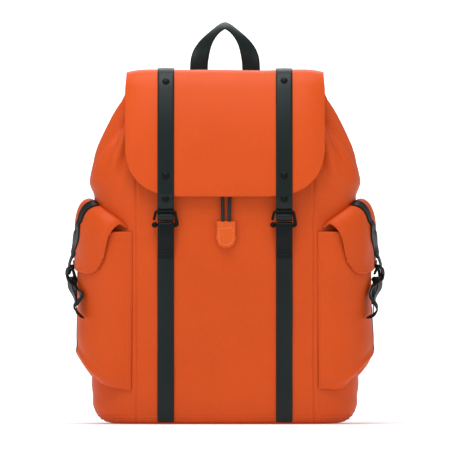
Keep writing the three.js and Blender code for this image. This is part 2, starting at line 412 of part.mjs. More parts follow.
{ // barrel with two through-holes for the strands and a blind well for the button and its spring
  const [lx, ly, lz] = LOCK_AT;
  let barrel = solid(warp(8, 1, 8, (u, v, w) => {
    const a = 2 * u - 1, b = 2 * w - 1, k = Math.max(Math.abs(a), Math.abs(b)), r = k / Math.max(1e-6, (Math.abs(a) ** 4 + Math.abs(b) ** 4) ** 0.25);
    return [a * r * 12.5, b * r * 5.9, v * 18 - 9];
  }));
  const lean = new THREE.Matrix4().makeRotationX(-0.39).setPosition(lx, ly, lz);
  const place = (g) => g.applyMatrix4(lean);
  barrel = barrel.transform(lean.elements);
  for (const s of [-1, 1]) barrel = barrel.subtract(solid(tube(CORD.slice(4, 11).map(([x, y, z]) => V(s * x + 1.4 * smooth((440 - z) / 25), y, z)), 3.0, 10)));
  barrel = barrel.subtract(solid(turned([[0, 0], [3.7, 0], [3.7, 12], [0, 12]], [lx, ly + 0.38 * 0.5, lz + 0.925 * 0.5], [0, 0.38, 0.925], 12)));
  add('cord_lock', barrel, COLOURS.black, 0.5);
}
add('cord_lock_button', turned([[0, 0], [3.3, 0], [3.3, 8.2], [2.6, 9.4], [0, 9.8]], [LOCK_AT[0], LOCK_AT[1] + 0.38 * 6, LOCK_AT[2] + 0.925 * 6], [0, 0.38, 0.925], 12), COLOURS.metal, 0.4);
// pull tab: a doubled tongue of body fabric sewn over the drawcord's ends
{
  const w = 12, r = 11, top = 262.4, low = 231.5, pts = [[-w + 1.4, top], [-w, low + r + 6]];
  for (let i = 1; i <= 8; i++) { const t = (i / 8) * Math.PI; pts.push([-w * Math.cos(t), low + r - r * Math.sin(t)]); }
  pts.push([w - 1.4, top]);
  add('cord_tab', (() => { const g = alongY(pts, -88.9, -84.6); g.translate(1.4, 0, 0); return g; })(), COLOURS.orange);
}
// lid's sewn hinge: a strip of body fabric from the back panel up to the lid's rear edge
add('lid_hinge_strip', warp(8, 4, 1, (u, v, w) => {
  const z = lerp(424, 458.6, v), x = lerp(-1, 1, u) * lerp(104, 120, v), y = backY(x, Math.min(z, 438), 1.7);
  return [x, y + smooth((z - 438) / 20) * (67.2 - y) + w * 1.8, z];
}), COLOURS.orange);
// loose ends of the side straps
for (const [side, s] of SIDES) {
  const line = [[204.8, -11, 204], [205.2, -16, 198], [205, -21.5, 191], [203.8, -27, 183], [199.8, -30, 172], [196.4, -32, 160], [195.8, -33, 149], [195.2, -34, 139]];
  const st = line.map(([x, y, z], i) => ({ p: V(x, y, z), wide: V(0.16 * smooth(i / 4), 1, 0.3 * (1 - i / 8)), w: 18, t: 1.8 }));
  const g = ribbon(st, 2);
  add('strap_tail_' + side, s > 0 ? g : mirrorX(g), COLOURS.black);
}
// anchors: folded fabric ears sewn into the lower back corners that hold the lower webbing
for (const [side, s] of SIDES) {
  const g = warp(4, 4, 1, (u, v, w) => {
    const z = lerp(16, 32, v), x = lerp(102, 136, u) * lerp(1.02, 0.985, v);
    return [x, backY(x, z, 0.8) + w * 2.4, z];
  });
  add('strap_anchor_' + side, s > 0 ? g : mirrorX(g), COLOURS.orange);
}
export default root;
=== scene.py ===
import math

import bpy
import numpy as np
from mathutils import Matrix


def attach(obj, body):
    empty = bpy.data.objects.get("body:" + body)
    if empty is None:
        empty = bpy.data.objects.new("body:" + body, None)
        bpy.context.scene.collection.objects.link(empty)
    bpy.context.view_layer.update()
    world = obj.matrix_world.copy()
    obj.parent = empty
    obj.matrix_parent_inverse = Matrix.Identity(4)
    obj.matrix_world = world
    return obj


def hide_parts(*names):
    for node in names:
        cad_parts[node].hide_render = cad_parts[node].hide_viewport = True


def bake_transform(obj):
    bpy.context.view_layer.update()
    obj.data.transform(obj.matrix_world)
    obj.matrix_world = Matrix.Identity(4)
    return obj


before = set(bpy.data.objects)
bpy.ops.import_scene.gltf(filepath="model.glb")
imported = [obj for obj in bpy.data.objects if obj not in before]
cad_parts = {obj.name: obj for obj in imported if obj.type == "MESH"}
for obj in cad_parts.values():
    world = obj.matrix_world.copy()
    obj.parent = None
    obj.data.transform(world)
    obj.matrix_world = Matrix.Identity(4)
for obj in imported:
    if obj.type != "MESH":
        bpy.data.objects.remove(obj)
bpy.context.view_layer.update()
rng = np.random.default_rng(7)
MM = 0.001

# ------------------------------------------------------------------ camera, light, floor
scene = bpy.context.scene
scene.view_settings.view_transform = "Standard"
cam_data = bpy.data.cameras.new("camera")
cam_data.sensor_width = 36
cam_data.lens = 18 / (0.2925 / 20)
cam_data.clip_start, cam_data.clip_end = 1, 80
cam = bpy.data.objects.new("camera", cam_data)
cam.location = (0, -20.085, 0.25935)
cam.rotation_euler = (math.radians(90), 0, 0)
scene.collection.objects.link(cam)
scene.camera = cam


def area(name, loc, target, size, power, colour=(1, 1, 1), size_y=None):
    d = bpy.data.lights.new(name, "AREA")
    d.shape = "RECTANGLE"
    d.size, d.size_y = size, size_y or size
    d.energy, d.color = power, colour
    o = bpy.data.objects.new(name, d)
    o.location = loc
    v = np.array(target, float) - np.array(loc, float)
    from mathutils import Vector

    o.rotation_euler = Vector(v).to_track_quat("-Z", "Y").to_euler()
    scene.collection.objects.link(o)
    return o


area("key_top", (-0.25, -0.9, 1.9), (0, -0.05, 0.3), 1.3, 21, size_y=0.9)
area("overhead", (0.0, -0.1, 1.9), (0, -0.02, 0.3), 0.9, 11)
area("fill_left", (-1.7, -1.6, 0.7), (0, 0, 0.25), 1.2, 5)
area("fill_right", (1.7, -1.6, 0.7), (0, 0, 0.25), 1.2, 4)
area("back_top", (0, 1.4, 1.5), (0, 0, 0.3), 1.2, 10)
world = bpy.data.worlds.new("world")
world.use_nodes = True
world.node_tree.nodes["Background"].inputs[0].default_value = (1, 1, 1, 1)
world.node_tree.nodes["Background"].inputs[1].default_value = 0.36
scene.world = world


# ------------------------------------------------------------------ materials
def rgb(r, g, b):
    f = lambda c: c / 12.92 if c <= 0.04045 else ((c + 0.055) / 1.055) ** 2.4
    return (f(r / 255), f(g / 255), f(b / 255), 1)


def new_mat(name, rough=0.5, spec=0.5, metal=0.0):
    m = bpy.data.materials.new(name)
    m.use_nodes = True
    b = m.node_tree.nodes["Principled BSDF"]
    b.inputs["Roughness"].default_value = rough
    b.inputs["Specular IOR Level"].default_value = spec
    b.inputs["Metallic"].default_value = metal
    return m, m.node_tree, b


def N(nt, kind, **kw):
    n = nt.nodes.new(kind)
    for k, v in kw.items():
        if k in n.inputs:
            n.inputs[k].default_value = v
        else:
            setattr(n, k, v)
    return n


def L(nt, a, ao, b, bi):
    nt.links.new(a.outputs[ao], b.inputs[bi])


def coords(nt, scale=(1, 1, 1), uv=False):
    tc = N(nt, "ShaderNodeTexCoord")
    mp = N(nt, "ShaderNodeMapping")
    mp.inputs["Scale"].default_value = scale
    L(nt, tc, "UV" if uv else "Object", mp, "Vector")
    return mp


def ramp(nt, stops):
    r = N(nt, "ShaderNodeValToRGB")
    e = r.color_ramp.elements
    while len(e) > len(stops):
        e.remove(e[-1])
    while len(e) < len(stops):
        e.new(0.5)
    for el, (p, c) in zip(e, stops):
        el.position = p
        el.color = c if len(c) == 4 else (*c, 1)
    return r


def coated(name, dark, light, rough=(0.42, 0.6), grain=0.00006, spec=0.35, pebble=900, cloud=7.0):
    """Fabric under a smooth rubbery coat: cloudy tone, pebbled micro grain and faint threads telling through."""
    m, nt, b = new_mat(name, spec=spec)
    mp = coords(nt)
    n1 = N(nt, "ShaderNodeTexNoise", Scale=cloud, Detail=5.0, Roughness=0.6)
    L(nt, mp, "Vector", n1, "Vector")
    r1 = ramp(nt, [(0.3, dark), (0.7, light)])
    L(nt, n1, "Fac", r1, "Fac")
    n2 = N(nt, "ShaderNodeTexNoise", Scale=260.0, Detail=3.0, Roughness=0.7)
    L(nt, mp, "Vector", n2, "Vector")
    r2 = ramp(nt, [(0.3, (0.94, 0.94, 0.94)), (0.7, (1, 1, 1))])
    L(nt, n2, "Fac", r2, "Fac")
    mul = N(nt, "ShaderNodeMix", data_type="RGBA", blend_type="MULTIPLY")
    mul.inputs[0].default_value = 1.0
    nt.links.new(r1.outputs["Color"], mul.inputs[6])
    nt.links.new(r2.outputs["Color"], mul.inputs[7])
    nt.links.new(mul.outputs[2], b.inputs["Base Color"])
    rr = N(nt, "ShaderNodeMapRange")
    rr.inputs["To Min"].default_value, rr.inputs["To Max"].default_value = rough
    L(nt, n2, "Fac", rr, "Value")
    nt.links.new(rr.outputs[0], b.inputs["Roughness"])
    vo = N(nt, "ShaderNodeTexVoronoi", Scale=float(pebble))
    L(nt, mp, "Vector", vo, "Vector")
    add = N(nt, "ShaderNodeMath", operation="MULTIPLY_ADD")
    add.inputs[1].default_value = 0.6
    L(nt, vo, "Distance", add, 0)
    nt.links.new(n2.outputs["Fac"], add.inputs[2])
    bp = N(nt, "ShaderNodeBump")
    bp.inputs["Strength"].default_value = 0.35
    bp.inputs["Distance"].default_value = grain
    nt.links.new(add.outputs[0], bp.inputs["Height"])
    nt.links.new(bp.outputs[0], b.inputs["Normal"])
    return m


def woven(name, dark, light, rib=1500.0, across=900.0, rough=0.62, spec=0.3, depth=0.00012, cross=True):
    """Webbing: ribs across its width, built on the piece's own UV, in metres."""
    m, nt, b = new_mat(name, rough=rough, spec=spec)
    mp = coords(nt, uv=True)
    w1 = N(nt, "ShaderNodeTexWave", wave_type="BANDS", bands_direction="Y", Scale=rib / 6.2832, Distortion=0.4, Detail=1.0)
    w2 = N(nt, "ShaderNodeTexWave", wave_type="BANDS", bands_direction="X", Scale=across / 6.2832, Distortion=0.3, Detail=1.0)
    L(nt, mp, "Vector", w1, "Vector")
    L(nt, mp, "Vector", w2, "Vector")
    mul = N(nt, "ShaderNodeMath", operation="MULTIPLY")
    nt.links.new(w1.outputs["Fac"], mul.inputs[0])
    nt.links.new(w2.outputs["Fac"], mul.inputs[1])
    mp2 = coords(nt)
    n1 = N(nt, "ShaderNodeTexNoise", Scale=60.0, Detail=4.0)
    L(nt, mp2, "Vector", n1, "Vector")
    mix = N(nt, "ShaderNodeMath", operation="MULTIPLY_ADD")
    mix.inputs[1].default_value = 0.365
    nt.links.new(mul.outputs[0], mix.inputs[0])
    sc = N(nt, "ShaderNodeMath", operation="MULTIPLY")
    sc.inputs[1].default_value = 0.45
    nt.links.new(n1.outputs["Fac"], sc.inputs[0])
    nt.links.new(sc.outputs[0], mix.inputs[2])
    r1 = ramp(nt, [(0.15, dark), (0.75, light)])
    nt.links.new(mix.outputs[0], r1.inputs["Fac"])
    nt.links.new(r1.outputs["Color"], b.inputs["Base Color"])
    bp = N(nt, "ShaderNodeBump")
    bp.inputs["Strength"].default_value = 0.6
    bp.inputs["Distance"].default_value = depth
    nt.links.new(mul.outputs[0], bp.inputs["Height"])
    nt.links.new(bp.outputs[0], b.inputs["Normal"])
    return m


def hard(name, colour, rough, metal, spec=0.5, wear=(0.06, 0.06, 0.065), scratch=0.12):
    m, nt, b = new_mat(name, rough=rough, spec=spec, metal=metal)
    mp = coords(nt)
    n1 = N(nt, "ShaderNodeTexNoise", Scale=400.0, Detail=6.0, Roughness=0.65)
    L(nt, mp, "Vector", n1, "Vector")
    r1 = ramp(nt, [(0.35, colour), (0.8, wear)])
    L(nt, n1, "Fac", r1, "Fac")
    nt.links.new(r1.outputs["Color"], b.inputs["Base Color"])
    rr = N(nt, "ShaderNodeMapRange")
    rr.inputs["To Min"].default_value, rr.inputs["To Max"].default_value = rough - scratch, rough + scratch
    L(nt, n1, "Fac", rr, "Value")
    nt.links.new(rr.outputs[0], b.inputs["Roughness"])
    bp = N(nt, "ShaderNodeBump")
    bp.inputs["Strength"].default_value = 0.25
    bp.inputs["Distance"].default_value = 0.00003
    L(nt, n1, "Fac", bp, "Height")
    nt.links.new(bp.outputs[0], b.inputs["Normal"])
    return m


ORANGE = coated("coated_orange", (0.575, 0.067, 0.0050), (0.63, 0.075, 0.0062), rough=(0.46, 0.58), spec=0.2)
ORANGE_IN = coated("coated_orange_back", (0.36, 0.05, 0.012), (0.42, 0.06, 0.015), rough=(0.7, 0.85), spec=0.15)
LINING = woven("lining_cloth", (0.018, 0.020, 0.022), (0.05, 0.054, 0.058), rib=5200, across=5200, rough=0.8, depth=0.00005)
STRAP = coated("coated_webbing", (0.0032, 0.0078, 0.0080), (0.0055, 0.0115, 0.0115), rough=(0.36, 0.5), spec=0.22, pebble=1400, grain=0.00004)
# a darker copy of the strap material for webbing in the hook windows, on the flaps and hanging loose: painted shade,
# darker than the strap's own colour to stand in for shadow and to hold back reflections of the white backdrop
STRAP_PAINTED_SHADE = coated("coated_webbing_painted_shade", (0.0012, 0.0030, 0.0032), (0.0022, 0.0050, 0.0052), rough=(0.4, 0.52), spec=0.16, pebble=1400, grain=0.00004)
ORANGE_TAB = coated("coated_fabric_tab", (0.64, 0.093, 0.0105), (0.70, 0.107, 0.0135), rough=(0.46, 0.58), spec=0.2)
WEB = woven("black_webbing", (0.004, 0.005, 0.0055), (0.022, 0.025, 0.026), rib=2600, across=1900)
PAD = woven("spacer_mesh", (0.006, 0.007, 0.008), (0.035, 0.038, 0.041), rib=3000, across=3000, rough=0.75, depth=0.0003)
CORDM = woven("braided_cord", (0.004, 0.005, 0.005), (0.03, 0.034, 0.036), rib=4200, across=1200, rough=0.6, depth=0.0002)
METAL = hard("black_metal", (0.0010, 0.0011, 0.0013), 0.5, 0.0, spec=0.14, wear=(0.004, 0.0043, 0.005))
PLASTIC = hard("black_plastic", (0.008, 0.008, 0.009), 0.45, 0.0, spec=0.4, wear=(0.02, 0.02, 0.021))
THREAD, _, _b = new_mat("orange_thread", rough=0.7, spec=0.2)


def threadify(m, dark, light):
    nt = m.node_tree
    b = nt.nodes["Principled BSDF"]
    mp = coords(nt)
    w = N(nt, "ShaderNodeTexNoise", Scale=1800.0, Detail=2.0)
    L(nt, mp, "Vector", w, "Vector")
    r = ramp(nt, [(0.3, dark), (0.7, light)])
    L(nt, w, "Fac", r, "Fac")
    nt.links.new(r.outputs["Color"], b.inputs["Base Color"])
    bp = N(nt, "ShaderNodeBump")
    bp.inputs["Strength"].default_value, bp.inputs["Distance"].default_value = 0.4, 0.00005
    L(nt, w, "Fac", bp, "Height")
    nt.links.new(bp.outputs[0], b.inputs["Normal"])


threadify(THREAD, (0.58, 0.085, 0.018), (0.74, 0.14, 0.045))
THREAD_BLACK, _, _b = new_mat("black_thread", rough=0.7, spec=0.25)
threadify(THREAD_BLACK, (0.006, 0.007, 0.008), (0.03, 0.033, 0.035))
THREAD_PALE, _, _b = new_mat("pale_orange_thread", rough=0.7, spec=0.2)
threadify(THREAD_PALE, (0.72, 0.25, 0.10), (0.85, 0.38, 0.2))


# ------------------------------------------------------------------ mesh helpers
def unit(v):
    return v / np.maximum(np.linalg.norm(v, axis=-1, keepdims=True), 1e-9)


def make(name, verts, faces, mats, body=None, uvs=None, index=None, smooth=True):
    me = bpy.data.meshes.new(name)
    me.from_pydata((np.asarray(verts, float) * MM).tolist(), [], [list(map(int, f)) for f in faces])
    for m in mats if isinstance(mats, (list, tuple)) else [mats]:
        me.materials.append(m)
    if smooth:
        me.polygons.foreach_set("use_smooth", [True] * len(me.polygons))
    if index is not None:
        me.polygons.foreach_set("material_index", list(map(int, index)))
    if uvs is not None:
        layer = me.uv_layers.new(name="UVMap")
        loops = np.zeros(len(me.loops), np.int64)
        me.loops.foreach_get("vertex_index", loops)
        layer.data.foreach_set("uv", (np.asarray(uvs, float)[loops] * MM).astype(np.float32).ravel())
    me.update()
    o = bpy.data.objects.new(name, me)
    scene.collection.objects.link(o)
    if body:
        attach(o, body)
    return o


def grid_normals(P, cu=False, cv=False):
    def d(A, ax, wrap):
        if wrap:
            return np.roll(A, -1, ax) - np.roll(A, 1, ax)
        return np.gradient(A, axis=ax)

    return unit(np.cross(d(P, 0, cu), d(P, 1, cv)))


def arcs(P):
    du = np.linalg.norm(np.diff(P, axis=0), axis=2)
    dv = np.linalg.norm(np.diff(P, axis=1), axis=2)
    U = np.vstack([np.zeros(P.shape[1]), np.cumsum(du, 0)])
    V = np.hstack([np.zeros((P.shape[0], 1)), np.cumsum(dv, 1)])
    mid = P.shape[1] // 2
    return np.broadcast_to(U[:, mid : mid + 1], P.shape[:2]), V


def thick(name, P, t, mats, body=None, flip=False, cu=False, inner=0, soft_rim=0.45):
    """A sheet of thickness t, with rounded edges, about the mid-surface P[u, v]. inner is the material index of its back face."""
    nu, nv = P.shape[:2]
    Nn = grid_normals(P, cu) * (-1 if flip else 1)
    tt = np.broadcast_to(np.asarray(t, float), P.shape[:2])[..., None]
    A, B = P + Nn * tt / 2, P - Nn * tt / 2
    U, V = arcs(P)
    verts = [A.reshape(-1, 3), B.reshape(-1, 3)]
    uv = [np.stack([U, V], 2).reshape(-1, 2)] * 2
    idx = np.arange(nu * nv).reshape(nu, nv)
    faces, mi = [], []
    iu = range(nu if cu else nu - 1)
    n = nu * nv
    for i in iu:
        k = (i + 1) % nu
        for j in range(nv - 1):
            q = [idx[i, j], idx[k, j], idx[k, j + 1], idx[i, j + 1]]
            if flip:
                q = q[::-1]
            faces.append(q)
            mi.append(0)
            faces.append([x + n for x in q[::-1]])
            mi.append(inner)
    gu, gv = unit(np.gradient(P, axis=0)), unit(np.gradient(P, axis=1))
    loops = []
    if cu:
        loops.append(([(i, 0) for i in range(nu)], True, lambda i, j: -gv[i, j]))
        loops.append(([(i, nv - 1) for i in range(nu)][::-1], True, lambda i, j: gv[i, j]))
    else:
        ring = [(i, 0) for i in range(nu)] + [(nu - 1, j) for j in range(1, nv)] + [(i, nv - 1) for i in range(nu - 2, -1, -1)] + [(0, j) for j in range(nv - 2, 0, -1)]

        def outward(i, j):
            v = np.zeros(3)
            if i == 0:
                v = v - gu[i, j]
            if i == nu - 1:
                v = v + gu[i, j]
            if j == 0:
                v = v - gv[i, j]
            if j == nv - 1:
                v = v + gv[i, j]
            return v / max(1e-9, np.linalg.norm(v))

        loops.append((ring, True, outward))
    base = 2 * n
    for ring, _, out in loops:
        m = len(ring)
        mid = np.array([P[i, j] + out(i, j) * tt[i, j, 0] * soft_rim for i, j in ring])
        verts.append(mid)
        uv.append(np.array([[U[i, j], V[i, j]] for i, j in ring]))
        for k in range(m):
            a, b = ring[k], ring[(k + 1) % m]
            ia, ib = idx[a], idx[b]
            q1 = [ib, ia, base + k, base + (k + 1) % m]
            q2 = [base + (k + 1) % m, base + k, ia + n, ib + n]
            if flip:
                q1, q2 = q1[::-1], q2[::-1]
            faces += [q1, q2]
            mi += [0, inner]
        base += m
    return make(name, np.vstack(verts), faces, mats, body, np.vstack(uv), mi)


def tube(name, pts, r, mats, body=None, sides=12, cap=True, ref=(1, 0, 0), flat=1.0):
    """A round rod along pts, with domed ends."""
    P = np.asarray(pts, float)
    n = len(P)
    R = np.broadcast_to(np.asarray(r, float), (n,)).copy()
    T = unit(np.gradient(P, axis=0))
    s = np.array(ref, float)
    frames = []
    for k in range(n):
        s = s - T[k] * (s @ T[k])
        s = s / max(1e-9, np.linalg.norm(s))
        frames.append((s.copy(), np.cross(T[k], s)))
    ang = np.linspace(0, 2 * np.pi, sides, endpoint=False)
    rings, vs = [], []
    L_ = np.concatenate([[0], np.cumsum(np.linalg.norm(np.diff(P, axis=0), axis=1))])

    def ring(c, k, rr, l):
        a, b = frames[k]
        rings.append(c + rr * (np.cos(ang)[:, None] * a + flat * np.sin(ang)[:, None] * b))
        vs.append(l)

    if cap:
        for q in (0.98, 0.7, 0.35):
            ring(P[0] - T[0] * R[0] * q * 0.9, 0, R[0] * math.sqrt(1 - q * q), -R[0] * q)
    for k in range(n):
        ring(P[k], k, R[k], L_[k])
    if cap:
        for q in (0.35, 0.7, 0.98):
            ring(P[-1] + T[-1] * R[-1] * q * 0.9, n - 1, R[-1] * math.sqrt(1 - q * q), L_[-1] + R[-1] * q)
    m = len(rings)
    verts = np.vstack(rings)
    uv = np.array([[R.mean() * a, l] for l in vs for a in ang])
    faces = []
    for i in range(m - 1):
        for j in range(sides):
            k = (j + 1) % sides
            faces.append([i * sides + j, i * sides + k, (i + 1) * sides + k, (i + 1) * sides + j])
    faces.append(list(range(sides))[::-1])
    faces.append([(m - 1) * sides + j for j in range(sides)])
    return make(name, verts, faces, mats, body, uv)


def lathe(name, profile, at, axis, mats, body=None, sides=32):
    """Turned piece: profile of (radius, height) pairs from the axis or back to its start."""
    ax = np.array(axis, float) / np.linalg.norm(axis)
    ref = np.array([1.0, 0, 0]) if abs(ax[0]) < 0.8 else np.array([0, 0, 1.0])
    e1 = np.cross(ax, ref)
    e1 /= np.linalg.norm(e1)
    e2 = np.cross(ax, e1)
    pr = [tuple(p) for p in profile]
    closed = pr[0] == pr[-1]
    if closed:
        pr = pr[:-1]
    verts, faces, rows = [], [], []
    ang = np.linspace(0, 2 * np.pi, sides, endpoint=False)
    for r, h in pr:
        if r < 1e-6:
            rows.append([len(verts)])
            verts.append(np.array(at) + ax * h)
        else:
            rows.append(list(range(len(verts), len(verts) + sides)))
            verts += [np.array(at) + ax * h + r * (math.cos(a) * e1 + math.sin(a) * e2) for a in ang]
    pairs = list(zip(rows, rows[1:])) + ([(rows[-1], rows[0])] if closed else [])
    for A, B in pairs:
        for j in range(sides):
            k = (j + 1) % sides
            if len(A) == 1:
                faces.append([A[0], B[j], B[k]])
            elif len(B) == 1:
                faces.append([A[j], B[0], A[k]])
            else:
                faces.append([A[j], B[j], B[k], A[k]])
    o = make(name, verts, faces, mats, body)
    fix_normals(o)
    return o


def fix_normals(o):
    import bmesh

    bm = bmesh.new()
    bm.from_mesh(o.data)
    bmesh.ops.recalc_face_normals(bm, faces=bm.faces)
    bm.to_mesh(o.data)
    bm.free()
    return o


def bevel(o, width, segments=2, angle=40):
    m = o.modifiers.new("bevel", "BEVEL")
    m.width, m.segments, m.limit_method, m.angle_limit = width * MM, segments, "ANGLE", math.radians(angle)
    m.harden_normals = False
    return o


def spline(pts, n, closed=False):
    """Catmull-Rom through pts, sampled evenly by length."""
    P = np.asarray(pts, float)
    m = len(P)
    if m == 2:
        fine = np.linspace(P[0], P[1], 50)
    else:
        E = np.vstack([2 * P[0] - P[1], P, 2 * P[-1] - P[-2]])
        out = []
        for i in range(1, m):
            p0, p1, p2, p3 = E[i - 1], E[i], E[i + 1], E[i + 2]
            t0, t1 = 0.0, np.linalg.norm(p1 - p0) ** 0.5 + 1e-9
            t2 = t1 + np.linalg.norm(p2 - p1) ** 0.5 + 1e-9
            t3 = t2 + np.linalg.norm(p3 - p2) ** 0.5 + 1e-9
            t = np.linspace(t1, t2, 24, endpoint=i == m - 1)[:, None]
            a1 = (t1 - t) / (t1 - t0) * p0 + (t - t0) / (t1 - t0) * p1
            a2 = (t2 - t) / (t2 - t1) * p1 + (t - t1) / (t2 - t1) * p2
            a3 = (t3 - t) / (t3 - t2) * p2 + (t - t2) / (t3 - t2) * p3
            b1 = (t2 - t) / (t2 - t0) * a1 + (t - t0) / (t2 - t0) * a2
            b2 = (t3 - t) / (t3 - t1) * a2 + (t - t1) / (t3 - t1) * a3
            out.append((t2 - t) / (t2 - t1) * b1 + (t - t1) / (t2 - t1) * b2)
        fine = np.vstack(out)
    L_ = np.concatenate([[0], np.cumsum(np.linalg.norm(np.diff(fine, axis=0), axis=1))])
    s = np.linspace(0, L_[-1], n)
    return np.stack([np.interp(s, L_, fine[:, k]) for k in range(P.shape[1])], 1)


def smooth(t):
    t = np.clip(t, 0, 1)
    return t * t * (3 - 2 * t)


def stitches(name, pts, nrm, body, mat, pitch=3.4, length=2.3, r=0.32, slant=0.0):
    """A row of separate thread stitches that dip into the cloth at both ends."""
    P, Q = np.asarray(pts, float), unit(np.asarray(nrm, float))
    L_ = np.concatenate([[0], np.cumsum(np.linalg.norm(np.diff(P, axis=0), axis=1))])
    n = int((L_[-1] - length) / pitch) + 1
    if n < 1:
        return None
    at = lambda s: np.stack([np.interp(s, L_, P[:, k]) for k in range(3)], -1)
    nat = lambda s: unit(np.stack([np.interp(s, L_, Q[:, k]) for k in range(3)], -1))
    start = (L_[-1] - (n - 1) * pitch - length) / 2 + np.arange(n) * pitch
    rings = [(-0.0, 0.45, -0.9), (0.16, 0.95, -0.1), (0.5, 1.05, 0.35), (0.84, 0.95, -0.1), (1.0, 0.45, -0.9)]
    sides = 6
    verts, faces = [], []
    mid, c = at(start + length / 2), nat(start + length / 2)
    T = unit(at(start + length) - at(start))
    S = np.cross(T, c)
    T = unit(T + slant * S)
    ang = np.linspace(0, 2 * np.pi, sides, endpoint=False)
    for f, w, h in rings:
        centre = mid + T * (f - 0.5) * length + c * (h * r)
        for a in ang:
            verts.append(centre + (math.cos(a) * S + math.sin(a) * c) * (w * r))
    Vv = np.array(verts).reshape(len(rings) * sides, n, 3).transpose(1, 0, 2).reshape(-1, 3)
    per = len(rings) * sides
    for k in range(n):
        o = k * per
        for i in range(len(rings) - 1):
            for j in range(sides):
                q = (j + 1) % sides
                faces.append([o + i * sides + j, o + i * sides + q, o + (i + 1) * sides + q, o + (i + 1) * sides + j])
        faces.append([o + j for j in range(sides)][::-1])
        faces.append([o + (len(rings) - 1) * sides + j for j in range(sides)])
    return make(name, Vv, faces, mat, body)


# ------------------------------------------------------------------ body surface
# half width of the shell at each height, half depth and centre of depth
A_Z = np.array([0.6, 2.3, 3.3, 7, 11, 19, 27, 66, 120, 240, 292, 300, 307.5, 315, 323, 331, 339, 346.5, 354, 362, 370, 378, 385.5, 393, 401, 409, 417, 424.5, 432, 438, 445, 452])
A_V = np.array([148, 154.5, 156.7, 162, 166.4, 171, 173.4, 173.4, 172.6, 171, 170.8, 171.6, 173.4, 175.1, 175.2, 174.0, 171.6, 169, 166.2, 162.6, 158.6, 154.8, 151.2, 147.7, 144.2, 140.9, 137.6, 134.3, 130.6, 127.6, 124, 121])
B_Z = np.array([0.6, 2.3, 7, 16, 34, 100, 170, 240, 300, 319, 346, 364, 393, 424, 438, 452])
B_V = np.array([64, 69, 75, 79.5, 82, 82.5, 82.5, 82.5, 81.5, 80, 76, 72.5, 65, 55, 50, 47])
C_V = np.array([0, 0, 0, 0, -1, -1, -1, -1, -1, 0, 0, 2, 6, 13, 16, 18])
NF, NB = 3.2, 5.0


def _soft(z, X, Y):
    """Interpolated and slightly smoothed, so that rings flow into each other."""
    z = np.asarray(z, float)
    return sum(np.interp(z + d, X, Y) * w for d, w in ((-5, 0.15), (-2.5, 0.2), (0, 0.3), (2.5, 0.2), (5, 0.15)))


def sec(z):
    z = np.asarray(z, float)
    k = np.clip((z - 8) / 14, 0, 1)
    f = lambda Y, X: np.interp(z, X, Y) * (1 - k) + _soft(z, X, Y) * k
    return f(A_V, A_Z), f(B_V, B_Z), f(C_V, B_Z)


def base_surface(th, z, off=0.0):
    a, b, yc = sec(z)
    c, s = np.cos(th), np.sin(th)
    n = np.where(s < 0, NF, NB)
    x = (a + off) * np.sign(c) * np.abs(c) ** (2 / n)
    y = yc + (b + off) * np.sign(s) * np.abs(s) ** (2 / n)
    return np.stack([x, y, np.broadcast_to(z, x.shape)], -1)


def seam_front(z):
    """Angle below the side's middle where the front panel's seam runs; it is plumb from the base to the lid."""
    a, _, _ = sec(z)
    xs = np.where(z < 320, 115.8, 115.8 - (z - 320) * 0.22)
    xs = np.minimum(xs, a * 0.74)
    return np.arccos(np.clip((xs / a) ** (NF / 2), 0, 1))


SEAM_BACK = math.radians(43.4)

# soft folds: polyline in x, y, z; depth in mm (negative is a valley); half width in mm
FOLDS = []


def fold(pts, amp, w, both=True, jitter=0.0):
    P = spline(np.array(pts, float), 24)
    FOLDS.append((P, amp, w))
    if both:
        Q = P * np.array([-1, 1, 1])
        if jitter:
            Q = Q + np.array([0, 0, jitter])
        FOLDS.append((Q, amp, w))


def front_y(x, z, off=0.0):
    a, b, yc = sec(z)
    return yc - (b + off) * (1 - np.clip(np.abs(x) / (a + off), 0, 1) ** NF) ** (1 / NF)


def back_y(x, z, off=0.0):
    a, b, yc = sec(z)
    return yc + (b + off) * (1 - np.clip(np.abs(x) / (a + off), 0, 1) ** NB) ** (1 / NB)


def side_x(y, z, off=0.0):
    a, b, yc = sec(z)
    n = np.where(np.asarray(y) < yc, NF, NB)
    return (a + off) * (1 - np.clip(np.abs(y - yc) / (b + off), 0, 1) ** n) ** (1 / n)


def on_front(x, z):
    return (x, float(front_y(x, z)), z)


def on_side(y, z):
    return (float(side_x(y, z)), y, z)


# shoulders: slack cloth falls in soft diagonal folds from the drawn-in mouth to the widest line
fold([on_front(-127, 424), on_front(-137, 392), on_front(-149, 360), (-float(side_x(-44, 330)), -44, 330)], -7.4, 6.8, both=False)
fold([on_front(-121, 412), on_front(-131, 378), on_front(-143, 345), on_front(-147, 322)], 4.0, 7, both=False)
fold([on_front(-118, 396), on_front(-125, 366), on_front(-134, 336), on_front(-140, 312)], -3.4, 6.5, both=False)
fold([on_front(-128, 330), on_front(-140, 305), on_front(-150, 285)], 2.0, 8, both=False)
fold([on_front(124, 424), on_front(134, 396), on_front(146, 364), (float(side_x(-46, 334)), -46, 334)], -7.0, 6.8, both=False)
fold([on_front(117, 408), on_front(127, 374), on_front(139, 342), on_front(146, 318)], 4.2, 7, both=False)
fold([on_front(114, 392), on_front(121, 360), on_front(129, 330), on_front(137, 306)], -3.2, 6.5, both=False)
fold([on_front(131, 330), on_front(144, 308), on_front(153, 292)], -2.2, 7, both=False)
fold([on_side(-36, 428), on_side(-34, 395), on_side(-28, 355), on_side(-20, 325)], -4.5, 8)
fold([on_side(-8, 432), on_side(-6, 398), on_side(-4, 366), on_side(4, 338)], 4.2, 9)
fold([on_side(20, 430), on_side(18, 392), on_side(12, 352), on_side(6, 330)], -4.2, 8)
fold([on_side(42, 425), on_side(36, 385), on_side(34, 350)], 3.5, 9)
fold([on_side(-60, 318), on_side(-30, 312), on_side(0, 314), on_side(30, 311), on_side(55, 318)], 1.8, 9)
